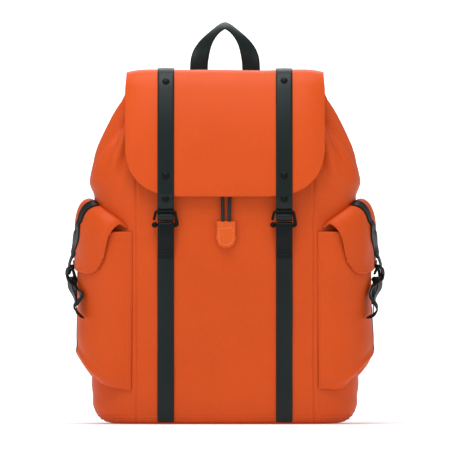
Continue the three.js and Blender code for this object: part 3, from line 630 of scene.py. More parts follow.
fold([on_side(-52, 300), on_side(-20, 297), on_side(20, 298), on_side(48, 301)], -1.3, 7)
# lower corners: the base is boxed in, so the side breaks softly above each corner
fold([on_side(-66, 26), on_side(-40, 34), on_side(0, 36), on_side(40, 33), on_side(60, 26)], -1.0, 8)
fold([on_front(-150, 20), on_front(-135, 34), on_front(-128, 52)], 1.0, 8)
fold([on_side(-30, 60), on_side(10, 52), on_side(44, 62)], 1.0, 10)
# the front bulges a little between the straps and hollows under the lid
fold([on_front(-50, 60), on_front(-20, 44), on_front(30, 42), on_front(60, 58)], 0.9, 22, both=False)
fold([on_front(-96, 24), on_front(-92, 120), on_front(-94, 230)], -0.5, 9)
fold([on_front(-30, 150), on_front(10, 138), on_front(40, 150)], 0.5, 30, both=False)
# back: shallow hollows beside the pad
fold([(-112, float(back_y(112, 90)), 90), (-116, float(back_y(116, 200)), 200), (-108, float(back_y(108, 320)), 320)], -1.4, 11)


def displacement(P):
    """Folds, gathers and slow unevenness at each point, in mm along the outward normal."""
    F = P.reshape(-1, 3)
    d = np.zeros(len(F))
    for Q, amp, w in FOLDS:
        lo, hi = Q.min(0) - 3 * w, Q.max(0) + 3 * w
        near = np.all((F > lo) & (F < hi), 1)
        if not near.any():
            continue
        G = F[near]
        D = np.linalg.norm(G[:, None, :] - Q[None], axis=2)
        k = D.argmin(1)
        t = k / (len(Q) - 1)
        taper = np.sin(np.pi * np.clip(t, 0.02, 0.98)) ** 0.6
        d[near] += amp * taper * np.exp(-((D.min(1) / w) ** 2))
    x, y, z = F.T
    th = np.arctan2(y - 8, x)
    slow = 0.55 * np.sin(x * 0.021 + 1.3) * np.sin(z * 0.017 + 0.4) + 0.35 * np.sin(y * 0.035 + z * 0.023) + 0.25 * np.sin(x * 0.043 - z * 0.031 + 2.0)
    d += slow * smooth((z - 10) / 30)
    # gathers drawn in by the cord, deepest at the mouth
    g = smooth((z - 392) / 58)
    wave = np.sin(th * 19 + 0.9 * np.sin(th * 5)) * 0.7 + np.sin(th * 31 + 1.7 * np.sin(th * 3 + 1)) * 0.5
    d += g * wave * 2.1 - g * 1.2
    return d.reshape(P.shape[:-1])


def surface(th, z, off=0.0):
    """The shell's mid-surface with its folds."""
    P = base_surface(th, z, 0.0)
    e = 1e-3
    tu = base_surface(th + e, z) - base_surface(th - e, z)
    tv = base_surface(th, z + 0.4) - base_surface(th, np.maximum(z - 0.4, 0.6))
    n = unit(np.cross(tu, tv))
    return P + n * (displacement(P) + off)[..., None], n


Z_ROWS = np.concatenate([[2.6, 3.2, 4.2, 5.6, 7.4, 9.8, 13, 17], np.arange(21.5, 438.2, 4.0), [439.2]])


def panel(name, th0, th1, nu, mats, inset=0.0):
    """A sewn panel between two seam angles; its edges turn in at the seams."""
    z = Z_ROWS
    u = np.linspace(0, 1, nu)
    u = 0.5 - 0.125 * np.cos(np.pi * u) - 0.375 * (1 - 2 * u)
    TH = th0(z)[None, :] * (1 - u[:, None]) + th1(z)[None, :] * u[:, None]
    ZZ = np.broadcast_to(z, TH.shape)
    P, n = surface(TH, ZZ, -0.8)
    arc = np.linalg.norm(np.diff(P, axis=0), axis=2)
    s = np.vstack([np.zeros(P.shape[1]), np.cumsum(arc, 0)])
    edge = np.minimum(s, s[-1] - s)
    P = P - n * (0.5 * np.exp(-((edge / 1.3) ** 2)))[..., None]  # the seam allowance rolls in
    P = P + n * (0.45 * np.exp(-(((edge - 4.5) / 2.6) ** 2)))[..., None]
    o = thick(name, P, 1.5, mats, "bag", cu=False, inner=1)
    return o


pairs = []
front = panel("front_shell", lambda z: -np.pi + seam_front(z) + 0.0015, lambda z: -seam_front(z) - 0.0015, 150, [ORANGE, LINING])
right = panel("side_shell_right", lambda z: -seam_front(z) + 0.0015, lambda z: np.full_like(z, SEAM_BACK - 0.002), 110, [ORANGE, LINING])
left = panel("side_shell_left", lambda z: np.full_like(z, np.pi - SEAM_BACK + 0.002), lambda z: np.pi + seam_front(z) - 0.0015, 110, [ORANGE, LINING])
back = panel("back_shell", lambda z: np.full_like(z, SEAM_BACK + 0.002), lambda z: np.full_like(z, np.pi - SEAM_BACK - 0.002), 120, [ORANGE, LINING])
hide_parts("front_panel")
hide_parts("side_panel_right")
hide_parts("side_panel_left")
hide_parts("back_panel")

# base: a shallow tray whose edge is sewn into the panels, with a piped seam
th = np.linspace(0, 2 * np.pi, 200, endpoint=False)
rows = [(0.0, 0.3), (0.35, 0.3), (0.7, 0.3), (0.9, 0.35), (0.965, 0.8), (1.0, 2.2)]
P = []
for k, zz in rows:
    a, b, yc = sec(2.3)
    R = base_surface(th, np.full_like(th, 2.3), -1.4)
    C = np.array([0, float(yc), 0])
    Q = C + (R - C) * max(k, 0.02)
    Q[:, 2] = zz + 0.55
    P.append(Q)
P = np.array(P).transpose(1, 0, 2)
base = thick("base_sheet", P, 1.0, [ORANGE, LINING], "bag", cu=True, inner=1)
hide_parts("base_panel")
ring = base_surface(th, np.full_like(th, 3.0), -0.2)
ring = np.vstack([ring, ring[:1]])


def stitch_on(name, th_of_z, z0, z1, off=0.35, mat=THREAD, **kw):
    z = np.linspace(z0, z1, int((z1 - z0) / 2) + 2)
    P, n = surface(th_of_z(z), z, off)
    o = stitches(name, P, n, "bag", mat, **kw)
    return o


def off_seam(d):
    """Angle of a line d mm to the front-panel side of the right-hand front seam."""

    def f(z):
        a, b, _ = sec(z)
        t = -seam_front(z)
        e = 1e-3
        q = np.linalg.norm(base_surface(t + e, z) - base_surface(t - e, z), axis=-1) / (2 * e)
        return t - d / q

    return f


for d, tag in ((3.2, "a"), (-3.4, "b")):
    stitch_on("seam_stitch_right_" + tag, off_seam(d), 12, 432)
    stitch_on("seam_stitch_left_" + tag, lambda z, d=d: np.pi - off_seam(d)(z) - 2 * np.pi, 12, 432)
for k, tag in ((1, "right"), (-1, "left")):
    stitch_on("back_seam_stitch_" + tag, lambda z, k=k: (SEAM_BACK + 0.032 if k > 0 else np.pi - SEAM_BACK - 0.032) + 0 * z, 12, 420)
# seam line and stitching just above the base
tb = np.linspace(0, 2 * np.pi, 700)
PB, nB = surface(tb, np.full_like(tb, 10.5), 0.35)
stitches("base_stitch", PB, nB, "bag", THREAD)
PB, nB = surface(tb, np.full_like(tb, 6.6), -0.1)
tube("base_piping", PB[:-1:2].tolist() + [PB[0].tolist()], 1.1, ORANGE, "bag", sides=8, ref=(0, 0, 1))

# mouth hem: a gathered channel that the drawcord runs in
th = np.linspace(0, 2 * np.pi, 360, endpoint=False)
prof = [(-1.6, 437.6), (-2.6, 440), (-2.8, 444), (-2.5, 448.5), (-1.4, 451.4), (0.2, 452.2), (1.5, 450.6), (1.9, 447), (1.9, 443), (1.3, 439.6), (0.3, 437.9)]
P = []
for off, zz in prof:
    S, n = surface(th, np.full_like(th, zz), 0.0)
    g = 0.55 * np.sin(th * 38 + 1.2 * np.sin(th * 7)) * smooth((zz - 437) / 6)
    P.append(S + n * (off + g)[:, None] + np.array([0, 0, 1]) * (0.5 * np.sin(th * 23 + 1) * smooth((zz - 440) / 12))[:, None])
P = np.array(P).transpose(1, 0, 2)
hem = thick("mouth_channel", P, 0.9, [ORANGE, ORANGE], "bag", cu=True)
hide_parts("mouth_hem_left", "mouth_hem_right")
S, n = surface(np.linspace(0, 2 * np.pi, 500), np.full(500, 440.4), 1.9)
stitches("mouth_stitch", S, n, "bag", THREAD)


# ------------------------------------------------------------------ lid
LID = np.array([(64, 459.4), (55, 460.3), (45, 461), (20, 461.9), (0, 462), (-14, 461.95), (-24, 461.7), (-34, 460.9), (-42.5, 458.9), (-50, 454.2), (-56.5, 445.5), (-65, 426), (-74.5, 398), (-83, 364), (-89, 331), (-92.3, 310), (-93.4, 297), (-93.9, 288)], float)
LID_F = spline(LID, 600)
LID_S = np.concatenate([[0], np.cumsum(np.linalg.norm(np.diff(LID_F, axis=0), axis=1))])
LID_T = unit(np.gradient(LID_F, axis=0))


def lid_at(s, off=0.0):
    """(y, z) and outward (ny, nz) of the lid's outer face at length s from its rear edge."""
    y, z = np.interp(s, LID_S, LID_F[:, 0]), np.interp(s, LID_S, LID_F[:, 1])
    t = np.stack([np.interp(s, LID_S, LID_T[:, 0]), np.interp(s, LID_S, LID_T[:, 1])], -1)
    t = unit(t)
    n = np.stack([t[..., 1], -t[..., 0]], -1)
    return y + n[..., 0] * off, z + n[..., 1] * off, n


def s_of_z(z):
    front = LID_F[:, 1][200:]
    return np.interp(-np.asarray(z, float), -front, LID_S[200:])


def lid_low(x):
    t = np.clip((np.abs(x) - 47) / 83, 0, 1)
    return 297 + 79 * (1 - (1 - t**2.75) ** (1 / 2.75))


def lid_drop(x, s):
    """How far the lid's cloth lies in from its plain profile: it curls in at its sides and waves a little."""
    e = np.clip((np.abs(x) - 96) / 34, 0, 1)
    z = np.interp(s, LID_S, LID_F[:, 1])
    low = smooth((350 - z) / 60)
    return 8.0 * e**2.4 * (1 - 0.45 * low) * (0.45 + 0.55 * smooth((455 - z) / 25)) + 0.5 * np.sin(x * 0.03 + 0.8) * np.sin(s * 0.02) + 0.35 * np.sin(x * 0.055 - s * 0.018) - 0.8 * low * np.cos(x * 0.045) * (1 - e)


q = np.linspace(-1, 1, 131)
xs = 129.6 * np.sin(q * math.pi / 2 * 0.86) / math.sin(math.pi / 2 * 0.86)
v = np.linspace(0, 1, 150)
P = np.zeros((len(xs), len(v), 3))
for i, x in enumerate(xs):
    se = float(s_of_z(lid_low(min(abs(x), 129.99))))
    s0 = 13 * np.clip((abs(x) - 104) / 26, 0, 1) ** 2.6
    s = s0 + (se - s0) * v
    y, z, n = lid_at(s, -1.05)
    d = lid_drop(x, s)
    wide = 1 - 0.012 * smooth((420 - z) / 60) * 0 - 0.010 * smooth((z - 440) / 20)
    P[i, :, 0] = x * wide
    P[i, :, 1] = y - n[:, 0] * d
    P[i, :, 2] = z - n[:, 1] * d
lid = thick("lid", P, 2.0, [ORANGE, ORANGE_IN], None, flip=True, inner=1)
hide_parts("lid_top", "lid_front")
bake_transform(lid)
lid_u = np.linalg.norm(np.diff(P, axis=0), axis=2).sum(0).mean() * MM
lid_v = np.linalg.norm(np.diff(P, axis=1), axis=2).sum(1).max() * MM

STRAP_X = 77.0
HOOK_TOP, HOOK_LOW = np.array([-92.1, 276.9]), np.array([-87.6, 259.4])


def rivet_at(z):
    s = float(s_of_z(z))
    y, zz, n = lid_at(s)
    return float(y), float(zz), n


def crown(w, nu, h=0.22):
    u = np.linspace(-1, 1, nu)
    return u * w / 2, h * (1 - u**2)


for side, k in (("left", -1), ("right", 1)):
    x0 = k * STRAP_X
    ux, uh = crown(20, 11)
    s_end = float(s_of_z(299.0))
    s = np.linspace(0.6, s_end, 170)
    y, z, n = lid_at(s, 1.15)
    d = lid_drop(x0, s)
    tail = spline([(y[-1] - n[-1, 0] * d[-1], z[-1] - n[-1, 1] * d[-1]), (-94.95, 293.5), (-94.7, 287.6), (-93.4, 282.8), (-90.6, 279.3), (-89.5, 276.4), (-90.6, 273.6), (-92.0, 271.4), (-91.9, 268.9), (-90.4, 266.6), (-88.6, 265.3)], 70)
    line = np.vstack([np.stack([y - n[:, 0] * d, z - n[:, 1] * d], 1), tail[1:]])
    T = unit(np.gradient(line, axis=0))
    nn = np.stack([T[:, 1], -T[:, 0]], 1)
    P = np.zeros((len(ux), len(line), 3))
    for i, (dx, h) in enumerate(zip(ux, uh)):
        P[i, :, 0] = x0 + dx * 1.0
        P[i, :, 1] = line[:, 0] + nn[:, 0] * h
        P[i, :, 2] = line[:, 1] + nn[:, 1] * h
    strap = thick("lid_strap_full_" + side, P, 1.7, STRAP, None, flip=True)
    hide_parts("lid_strap_top_" + side, "lid_strap_" + side)
    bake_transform(strap)
    # the strap's folded end behind it, held by the two lower rivets
    b = spline([(-92.9, 299), (-93.1, 292), (-92.6, 286), (-90.9, 281.6), (-87.9, 279.2), (-86.6, 276.6), (-87.2, 274.2), (-88.6, 272.6)], 40)
    P = np.zeros((len(ux), len(b), 3))
    for i, dx in enumerate(ux):
        P[i, :, 0] = x0 + dx * 0.95
        P[i, :, 1], P[i, :, 2] = b[:, 0] + 0.2, b[:, 1]
    P = P[:, b[:, 1] < 296.2]
    fold_ = thick("strap_fold_" + side, P, 1.5, STRAP, "lid_front", flip=True)
    for nm, zz in (("upper", 446.5), ("middle", 323.0), ("lower", 293.4)):
        j = 60 + int(np.argmin(np.abs(line[60:, 1] - zz)))
        rn = nn[j]
        ry, rz = line[j] + rn * (0.2 + 0.85)
        head = [(0, 2.2), (1.5, 2.1), (2.8, 1.75), (3.8, 1.2), (4.4, 0.6), (4.6, 0.15), (4.5, -0.5), (0, -0.5)]
        r = lathe(f"rivet_{nm}_{side}_cap", head, (x0, ry, rz), (0, rn[0], rn[1]), METAL, "lid_front")
        backr = -5.4 if nm != "lower" else -4.4
        lathe(f"rivet_{nm}_{side}_back", [(0, -0.6), (1.5, -0.6), (1.5, backr + 0.9), (3.4, backr + 0.9), (3.7, backr + 0.5), (3.4, backr), (1.2, backr - 0.3), (0, backr - 0.3)], (x0, ry, rz), (0, rn[0], rn[1]), METAL, "lid_front", sides=20)
        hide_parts(f"rivet_{nm}_{side}")


# ------------------------------------------------------------------ hooks
def filleted(pts, rad, n=7):
    P = [np.array(p, float) for p in pts]
    out = [P[0]]
    for i in range(1, len(P) - 1):
        a, b = P[i - 1] - P[i], P[i + 1] - P[i]
        la, lb = np.linalg.norm(a), np.linalg.norm(b)
        r = min(rad if np.isscalar(rad) else rad[i - 1], la * 0.45, lb * 0.45)
        p, q_ = P[i] + a / la * r, P[i] + b / lb * r
        for t in np.linspace(0, 1, n):
            out.append((1 - t) ** 2 * p + 2 * t * (1 - t) * P[i] + t * t * q_)
    out.append(P[-1])
    return np.array(out)


def dense(P, step=1.0):
    out = [P[0]]
    for a, b in zip(P[:-1], P[1:]):
        m = max(1, int(np.linalg.norm(b - a) / step))
        out += [a + (b - a) * (i + 1) / m for i in range(m)]
    return np.array(out)


def ball(name, at, r, mats, body):
    prof = [(r * math.sin(a), -r * math.cos(a)) for a in np.linspace(0, math.pi, 17)]
    prof[0], prof[-1] = (0, -r), (0, r)
    return lathe(name, prof, at, (1, 0, 0), mats, body, sides=28)


def hook(name, at, body, node):
    """at(dx, d): a point dx across and d down from the top bar's middle."""
    path = filleted([at(-15.2, 9.6), at(-12.9, 0), at(12.2, 0), at(14.9, 18.4), at(-12.6, 17.5)], [2.4, 2.4, 3.6])
    path = dense(path, 0.9)
    n_ = len(path)
    s = np.linspace(0, 1, n_)
    # heaviest at the lower right corner, where it takes the load
    corner = np.argmin(np.linalg.norm(path - np.array(at(14.9, 18.4)), axis=1)) / n_
    r = 1.80 + 0.7 * np.exp(-(((s - corner) / 0.09) ** 2))
    f = tube(name + "_frame", path, r, METAL, body, sides=16, ref=tuple(np.array(at(0, 0)) * 0 + unit(np.cross(np.array(at(1, 0)) - np.array(at(0, 0)), np.array(at(0, 1)) - np.array(at(0, 0))))))
    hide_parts(node)
    ball(name + "_ball", at(-14.6, 17.5), 3.7, METAL, body)
    ball(name + "_arm_tip", at(-15.3, 9.9), 1.75, METAL, body)
    return f


for side, k in (("left", -1), ("right", 1)):
    x0 = k * STRAP_X

    def at(dx, d, x0=x0):
        p = HOOK_TOP + (HOOK_LOW - HOOK_TOP) * (d / 17.5)
        return (x0 + dx, p[0], p[1])

    hook("main_hook_" + side + "_gate", at, "main_hook_" + side, "main_hook_" + side)


# ------------------------------------------------------------------ lower front straps
def th_front(x, z):
    a, _, _ = sec(z)
    t = np.arccos(np.clip((np.abs(x) / a) ** (NF / 2), 0, 1))
    return np.where(np.asarray(x) >= 0, -t, -np.pi + t)


for side, k in (("left", -1), ("right", 1)):
    x0 = k * STRAP_X
    ux, uh = crown(20, 11, 0.25)
    z = np.concatenate([[4.4, 5.2, 6.4, 8, 10.5, 14], np.arange(18, 226, 3.0)])
    X, Z = np.meshgrid(x0 + ux, z, indexing="ij")
    slack = 0.5 + 0.5 * np.sin(Z * 0.045 + k) * smooth((Z - 20) / 30) * smooth((215 - Z) / 30)
    S, n = surface(th_front(X, Z), Z, 0.0)
    P = S + n * (0.95 + slack + uh[:, None])[..., None]
    lower = thick("front_strap_web_" + side, P, 1.6, STRAP, "bag")
    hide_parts("front_strap_" + side)
    # sewn loop over the hook's lower bar
    fy = lambda zz, o: float(surface(th_front(np.array([x0]), np.array([zz])), np.array([float(zz)]), o)[0][0, 1])
    ly, lz = HOOK_LOW
    R = 3.1
    line = [(fy(217.4, 3.5), 217.4), (fy(222, 3.6), 222), (fy(231, 4.2), 231), (ly - R + 0.5, 243), (ly - R - 0.2, 252), (ly - R, lz)]
    line += [(ly - R * math.cos(a), lz + R * math.sin(a)) for a in np.linspace(0.4, math.pi - 0.4, 7)]
    line += [(ly + R, lz), (ly + R - 0.6, 251), (fy(240, 1.6), 240), (fy(229, 1.3), 229)]
    c = spline(line, 110)
    T = unit(np.gradient(c, axis=0))
    nn = np.stack([T[:, 1], -T[:, 0]], 1) * -1
    P = np.zeros((len(ux), len(c), 3))
    for i, (dx, h) in enumerate(zip(ux, uh)):
        bend = np.array([float(front_y(x0 + dx, 226) - front_y(x0, 226))])
        P[i, :, 0] = x0 + dx
        P[i, :, 1] = c[:, 0] + nn[:, 0] * h + bend * (1 - smooth((c[:, 1] - 230) / 24))
        P[i, :, 2] = c[:, 1] + nn[:, 1] * h
    # the loop inside the hook's window takes the darker strap copy: painted shade
    loop = thick("front_strap_fold_" + side, P, 1.5, STRAP_PAINTED_SHADE, "bag")
    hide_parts("front_strap_loop_" + side)
    for zz, tag in ((220.6, "a"), (224.6, "b")):
        xx = np.linspace(x0 - 8.6, x0 + 8.6, 14)
        S, n = surface(th_front(xx, np.full_like(xx, zz)), np.full_like(xx, zz), 4.55)
        stitches(f"loop_stitch_{side}_{tag}", S, n, "bag", THREAD_BLACK, pitch=2.4, length=1.8, r=0.3)

# ------------------------------------------------------------------ drawcord, lock, tab
CORD = [(15, -25.2, 443.1), (15, -30.6, 445), (15, -34.9, 446.55), (14.3, -39.4, 446), (12.6, -44.5, 441.5), (9.6, -50, 432), (7.8, -54.9, 421), (7.5, -59.2, 410.5), (7.5, -63.4, 400), (6.4, -71.4, 375), (5.4, -78.9, 352), (5.0, -83.8, 325), (4.8, -86.6, 300), (4.4, -87.2, 280), (4.1, -86.7, 260.8)]
for side, k in (("left", -1), ("right", 1)):
    pts = spline([(k * x + 1.4 * float(smooth((440 - z) / 25)), y, z) for x, y, z in CORD], 120)
    o = tube("drawcord_strand_" + side, pts, 2.35 + 0.09 * np.sin(np.linspace(0, 260, 120)), CORDM, "bag", sides=16)
    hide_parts("drawcord_" + side)

w, low, top, r_ = 12.0, 231.4, 262.4, 11.6
qx = np.sin(np.linspace(-1, 1, 41) * math.pi / 2 * 0.93) / math.sin(math.pi / 2 * 0.93)
vv = np.linspace(0, 1, 44)
P = np.zeros((41, 44, 3))
TH = np.zeros((41, 44))
for i, a in enumerate(qx):
    x = a * w
    bottom = low + r_ - max(0.0, 1 - abs(a) ** 2.3) ** (1 / 2.3) * r_
    z = top - (top - bottom) * vv
    edge = np.minimum(np.minimum(w - abs(x), top - z), z - bottom)
    P[i, :, 0] = 1.4 + x * (1 - 0.05 * smooth((z - 256) / 7))
    P[i, :, 2] = z
    P[i, :, 1] = -87.0 + 0.25 * np.sin(x * 0.3) - 0.5 * smooth((250 - z) / 18)
    TH[i] = 5.4 - 1.5 * np.exp(-((edge - 2.0) / 0.9) ** 2) * (edge > 0.3) - 0.7 * np.exp(-((z - 255.6) / 0.9) ** 2) + 1.1 * np.exp(-(((np.abs(x) - 4.1) / 2.4) ** 2)) * smooth((z - 254) / 4)
tab = thick("cord_pull_tab", P, np.maximum(TH, 2.2), [ORANGE_TAB], "bag", soft_rim=0.4, flip=True)
fix_normals(tab)
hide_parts("cord_tab")
def on_tab(x, z):
    """A point on the tab's front face."""
    d = (P[..., 0] - x) ** 2 + (P[..., 2] - z) ** 2
    i, j = np.unravel_index(np.argmin(d), d.shape)
    return (x, P[i, j, 1] - max(TH[i, j], 2.2) / 2 - 0.22, z)


ang = np.linspace(-math.pi / 2, math.pi / 2, 60)
u_line = [(1.4 - 9.5, z) for z in np.linspace(255.4, 243, 14)] + [(1.4 + 9.5 * math.sin(a), 243 - 9.3 * math.cos(a)) for a in ang] + [(1.4 + 9.5, z) for z in np.linspace(243, 255.4, 14)]
u_line = np.array([on_tab(x, z) for x, z in u_line])
u_line[:, 1] = np.convolve(np.pad(u_line[:, 1], 3, mode="edge"), np.ones(7) / 7, mode="valid")
stitches("tab_stitch_edge", u_line, np.tile([0, -1.0, 0], (len(u_line), 1)), "bag", THREAD_PALE, pitch=2.9, length=1.9, r=0.42)
h_line = np.array([on_tab(1.4 + x, 255.4) for x in np.linspace(-9.4, 9.4, 14)])
stitches("tab_stitch_top", h_line, np.tile([0, -1.0, 0], (14, 1)), "bag", THREAD_PALE, pitch=2.9, length=1.9, r=0.42)

for nm in ("eyelet_left", "eyelet_right"):
    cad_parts[nm].data.materials.clear()
    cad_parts[nm].data.materials.append(METAL)
for nm in ("cord_lock", "cord_lock_button"):
    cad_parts[nm].data.materials.clear()
    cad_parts[nm].data.materials.append(PLASTIC)
    bevel(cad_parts[nm], 0.6, 3, 30)

# ------------------------------------------------------------------ grab handle
half = [(-34.1, 425.4), (-34.1, 432), (-34.1, 440), (-34.2, 452), (-34.2, 464), (-33.3, 476), (-30.6, 487), (-26.2, 496.5), (-19.6, 506), (-10.6, 515.2), (-4.2, 519.9)]
line = half + [(0, 521.4)] + [(-x, z) for x, z in half[::-1]]
c = spline(line, 141)
z = c[:, 1]
y = 72.9 + 5.0 * smooth((z - 452) / 68)
C = np.stack([c[:, 0], y, z], 1)
T = unit(np.gradient(C, axis=0))
outer = unit(np.stack([-T[:, 2], 0 * z, T[:, 0]], 1))
turn = (smooth((z - 466) / 52) * math.radians(69))[:, None]
W = outer * np.cos(turn) + np.array([[0, 1.0, 0]]) * np.sin(turn)
W = unit(W - T * np.sum(W * T, 1, keepdims=True))
O = np.cross(T, W)
uu = np.linspace(-1, 1, 13)
P = np.zeros((13, len(C), 3))
for i, a in enumerate(uu):
    P[i] = C + W * (a * 10.7) - O * (0.9 * a * a * np.sin(turn))
handle = thick("grab_handle", P, 2.3, STRAP, None)
fix_normals(handle)
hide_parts("carry_handle")
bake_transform(handle)
for side, k in (("left", -1), ("right", 1)):
    for zz in (428.0, 431.5):
        L_ = np.array([(k * 34.1 + a, 74.2, zz) for a in np.linspace(-8.5, 8.5, 12)])
        stitches(f"handle_stitch_{int(zz)}_{side}", L_, np.tile([0, 1.0, 0], (12, 1)), "bag", THREAD_BLACK)


# ------------------------------------------------------------------ side pockets
def drape(X, Q, Nq, gap, pull=None):
    """Push points X to at least gap off the surface samples Q (normals Nq); pull also draws them in to that gap."""
    S = X.reshape(-1, 3).copy()
    for a in range(0, len(S), 400):
        blk = S[a : a + 400]
        j = np.argmin(((blk[:, None] - Q[None]) ** 2).sum(2), 1)
        h = np.sum((blk - Q[j]) * Nq[j], 1)
        d = np.maximum(0, gap - h)
        if pull is not None:
            d = d + np.minimum(0, gap - h) * pull
        S[a : a + 400] = blk + Nq[j] * d[:, None]
    return S.reshape(X.shape)


def pocket_x(y, z, Q):
    """Height in X of a pocket's outer wall, averaged from its samples Q."""
    w = np.exp(-((y[:, None] - Q[None, :, 1]) ** 2 + (z[:, None] - Q[None, :, 2]) ** 2) / (2 * 3.2**2)) + 1e-12
    return (w * Q[None, :, 0]).sum(1) / w.sum(1)


def sections(curves, nu, nv, keys):
    """A smooth surface P[u, v] through cross curves at parameters keys."""
    R = np.array([spline(c, nv) for c in curves])
    out = np.zeros((nu, nv, 3))
    u = np.linspace(0, 1, nu)
    kk = np.array(keys, float)
    for j in range(nv):
        m = np.zeros((len(kk), 3))
        d = np.diff(R[:, j], axis=0) / np.diff(kk)[:, None]
        m[0], m[-1] = d[0], d[-1]
        m[1:-1] = (d[:-1] * np.diff(kk)[1:, None] + d[1:] * np.diff(kk)[:-1, None]) / (kk[2:] - kk[:-2])[:, None]
        i = np.clip(np.searchsorted(kk, u, side="right") - 1, 0, len(kk) - 2)
        h = (kk[i + 1] - kk[i])[:, None]
        t = ((u - kk[i])[:, None]) / h
        out[:, j] = (2 * t**3 - 3 * t**2 + 1) * R[i, j] + (t**3 - 2 * t**2 + t) * h * m[i] + (-2 * t**3 + 3 * t**2) * R[i + 1, j] + (t**3 - t**2) * h * m[i + 1]
    return out


SEAM_F = math.radians(57)
P_TH0, P_TH1 = -SEAM_F + 0.03, math.radians(41)


def pocket_low(u):
    return 45.5 + 35.5 * smooth(1 - np.abs(u - 0.56) / 0.46)


FLAP_SEC = [
    (0.00, [(128, -73, 255.5), (136.6, -78.5, 261), (144.6, -81.5, 256.5), (151.6, -82.5, 246), (155, -81.5, 233), (157, -80.5, 222), (159, -78.5, 212.5)]),
    (0.07, [(132.5, -72, 260), (140.6, -77.8, 265), (149, -80.6, 260.5), (156, -81, 249), (159.5, -80, 233), (162, -78.5, 217), (164, -76, 203.5)]),
    (0.17, [(138.5, -68.5, 265), (146, -74, 269), (155, -77, 264), (162.6, -77.5, 250), (166.5, -76, 232), (169, -73.6, 212), (170.6, -71, 198)]),
    (0.32, [(149, -60.5, 272), (156, -66, 276.5), (165, -69, 272), (173.4, -68.5, 257), (177.6, -67, 236), (180, -64, 213), (180.6, -61.5, 197)]),
    (0.47, [(158.5, -47.5, 279), (165, -51, 283.5), (174, -53, 279.5), (181.8, -53, 264), (185.4, -51.5, 240), (187, -49, 215), (187.2, -47, 199.5)]),
    (0.62, [(165.5, -28, 287), (172.5, -29.5, 289.5), (181, -29.5, 285.5), (188.4, -28.5, 271), (191.6, -27.5, 244), (192.6, -26, 216), (192.6, -25, 202.5)]),
    (0.76, [(169.4, -4, 289), (177, -4, 292.6), (186, -3.5, 288), (193.2, -3, 272), (195.2, -2, 246), (195.4, -1, 219), (195.2, 0, 204.5)]),
    (0.90, [(169.6, 24, 288.6), (177, 24.5, 291.8), (185.5, 25, 287.4), (192.2, 25, 273), (194.6, 24.5, 248), (194.4, 24, 224), (193.8, 23, 210)]),
    (1.00, [(167.6, 46, 287.6), (173.5, 47, 290.4), (180.8, 47.6, 286), (187, 47.4, 275), (190, 46, 255), (190.8, 44.4, 236), (190.6, 43, 224)]),
]
SIDE_TOP, SIDE_LOW = np.array([199.6, 206.2]), np.array([199.0, 188.5])
YAW = math.radians(17)
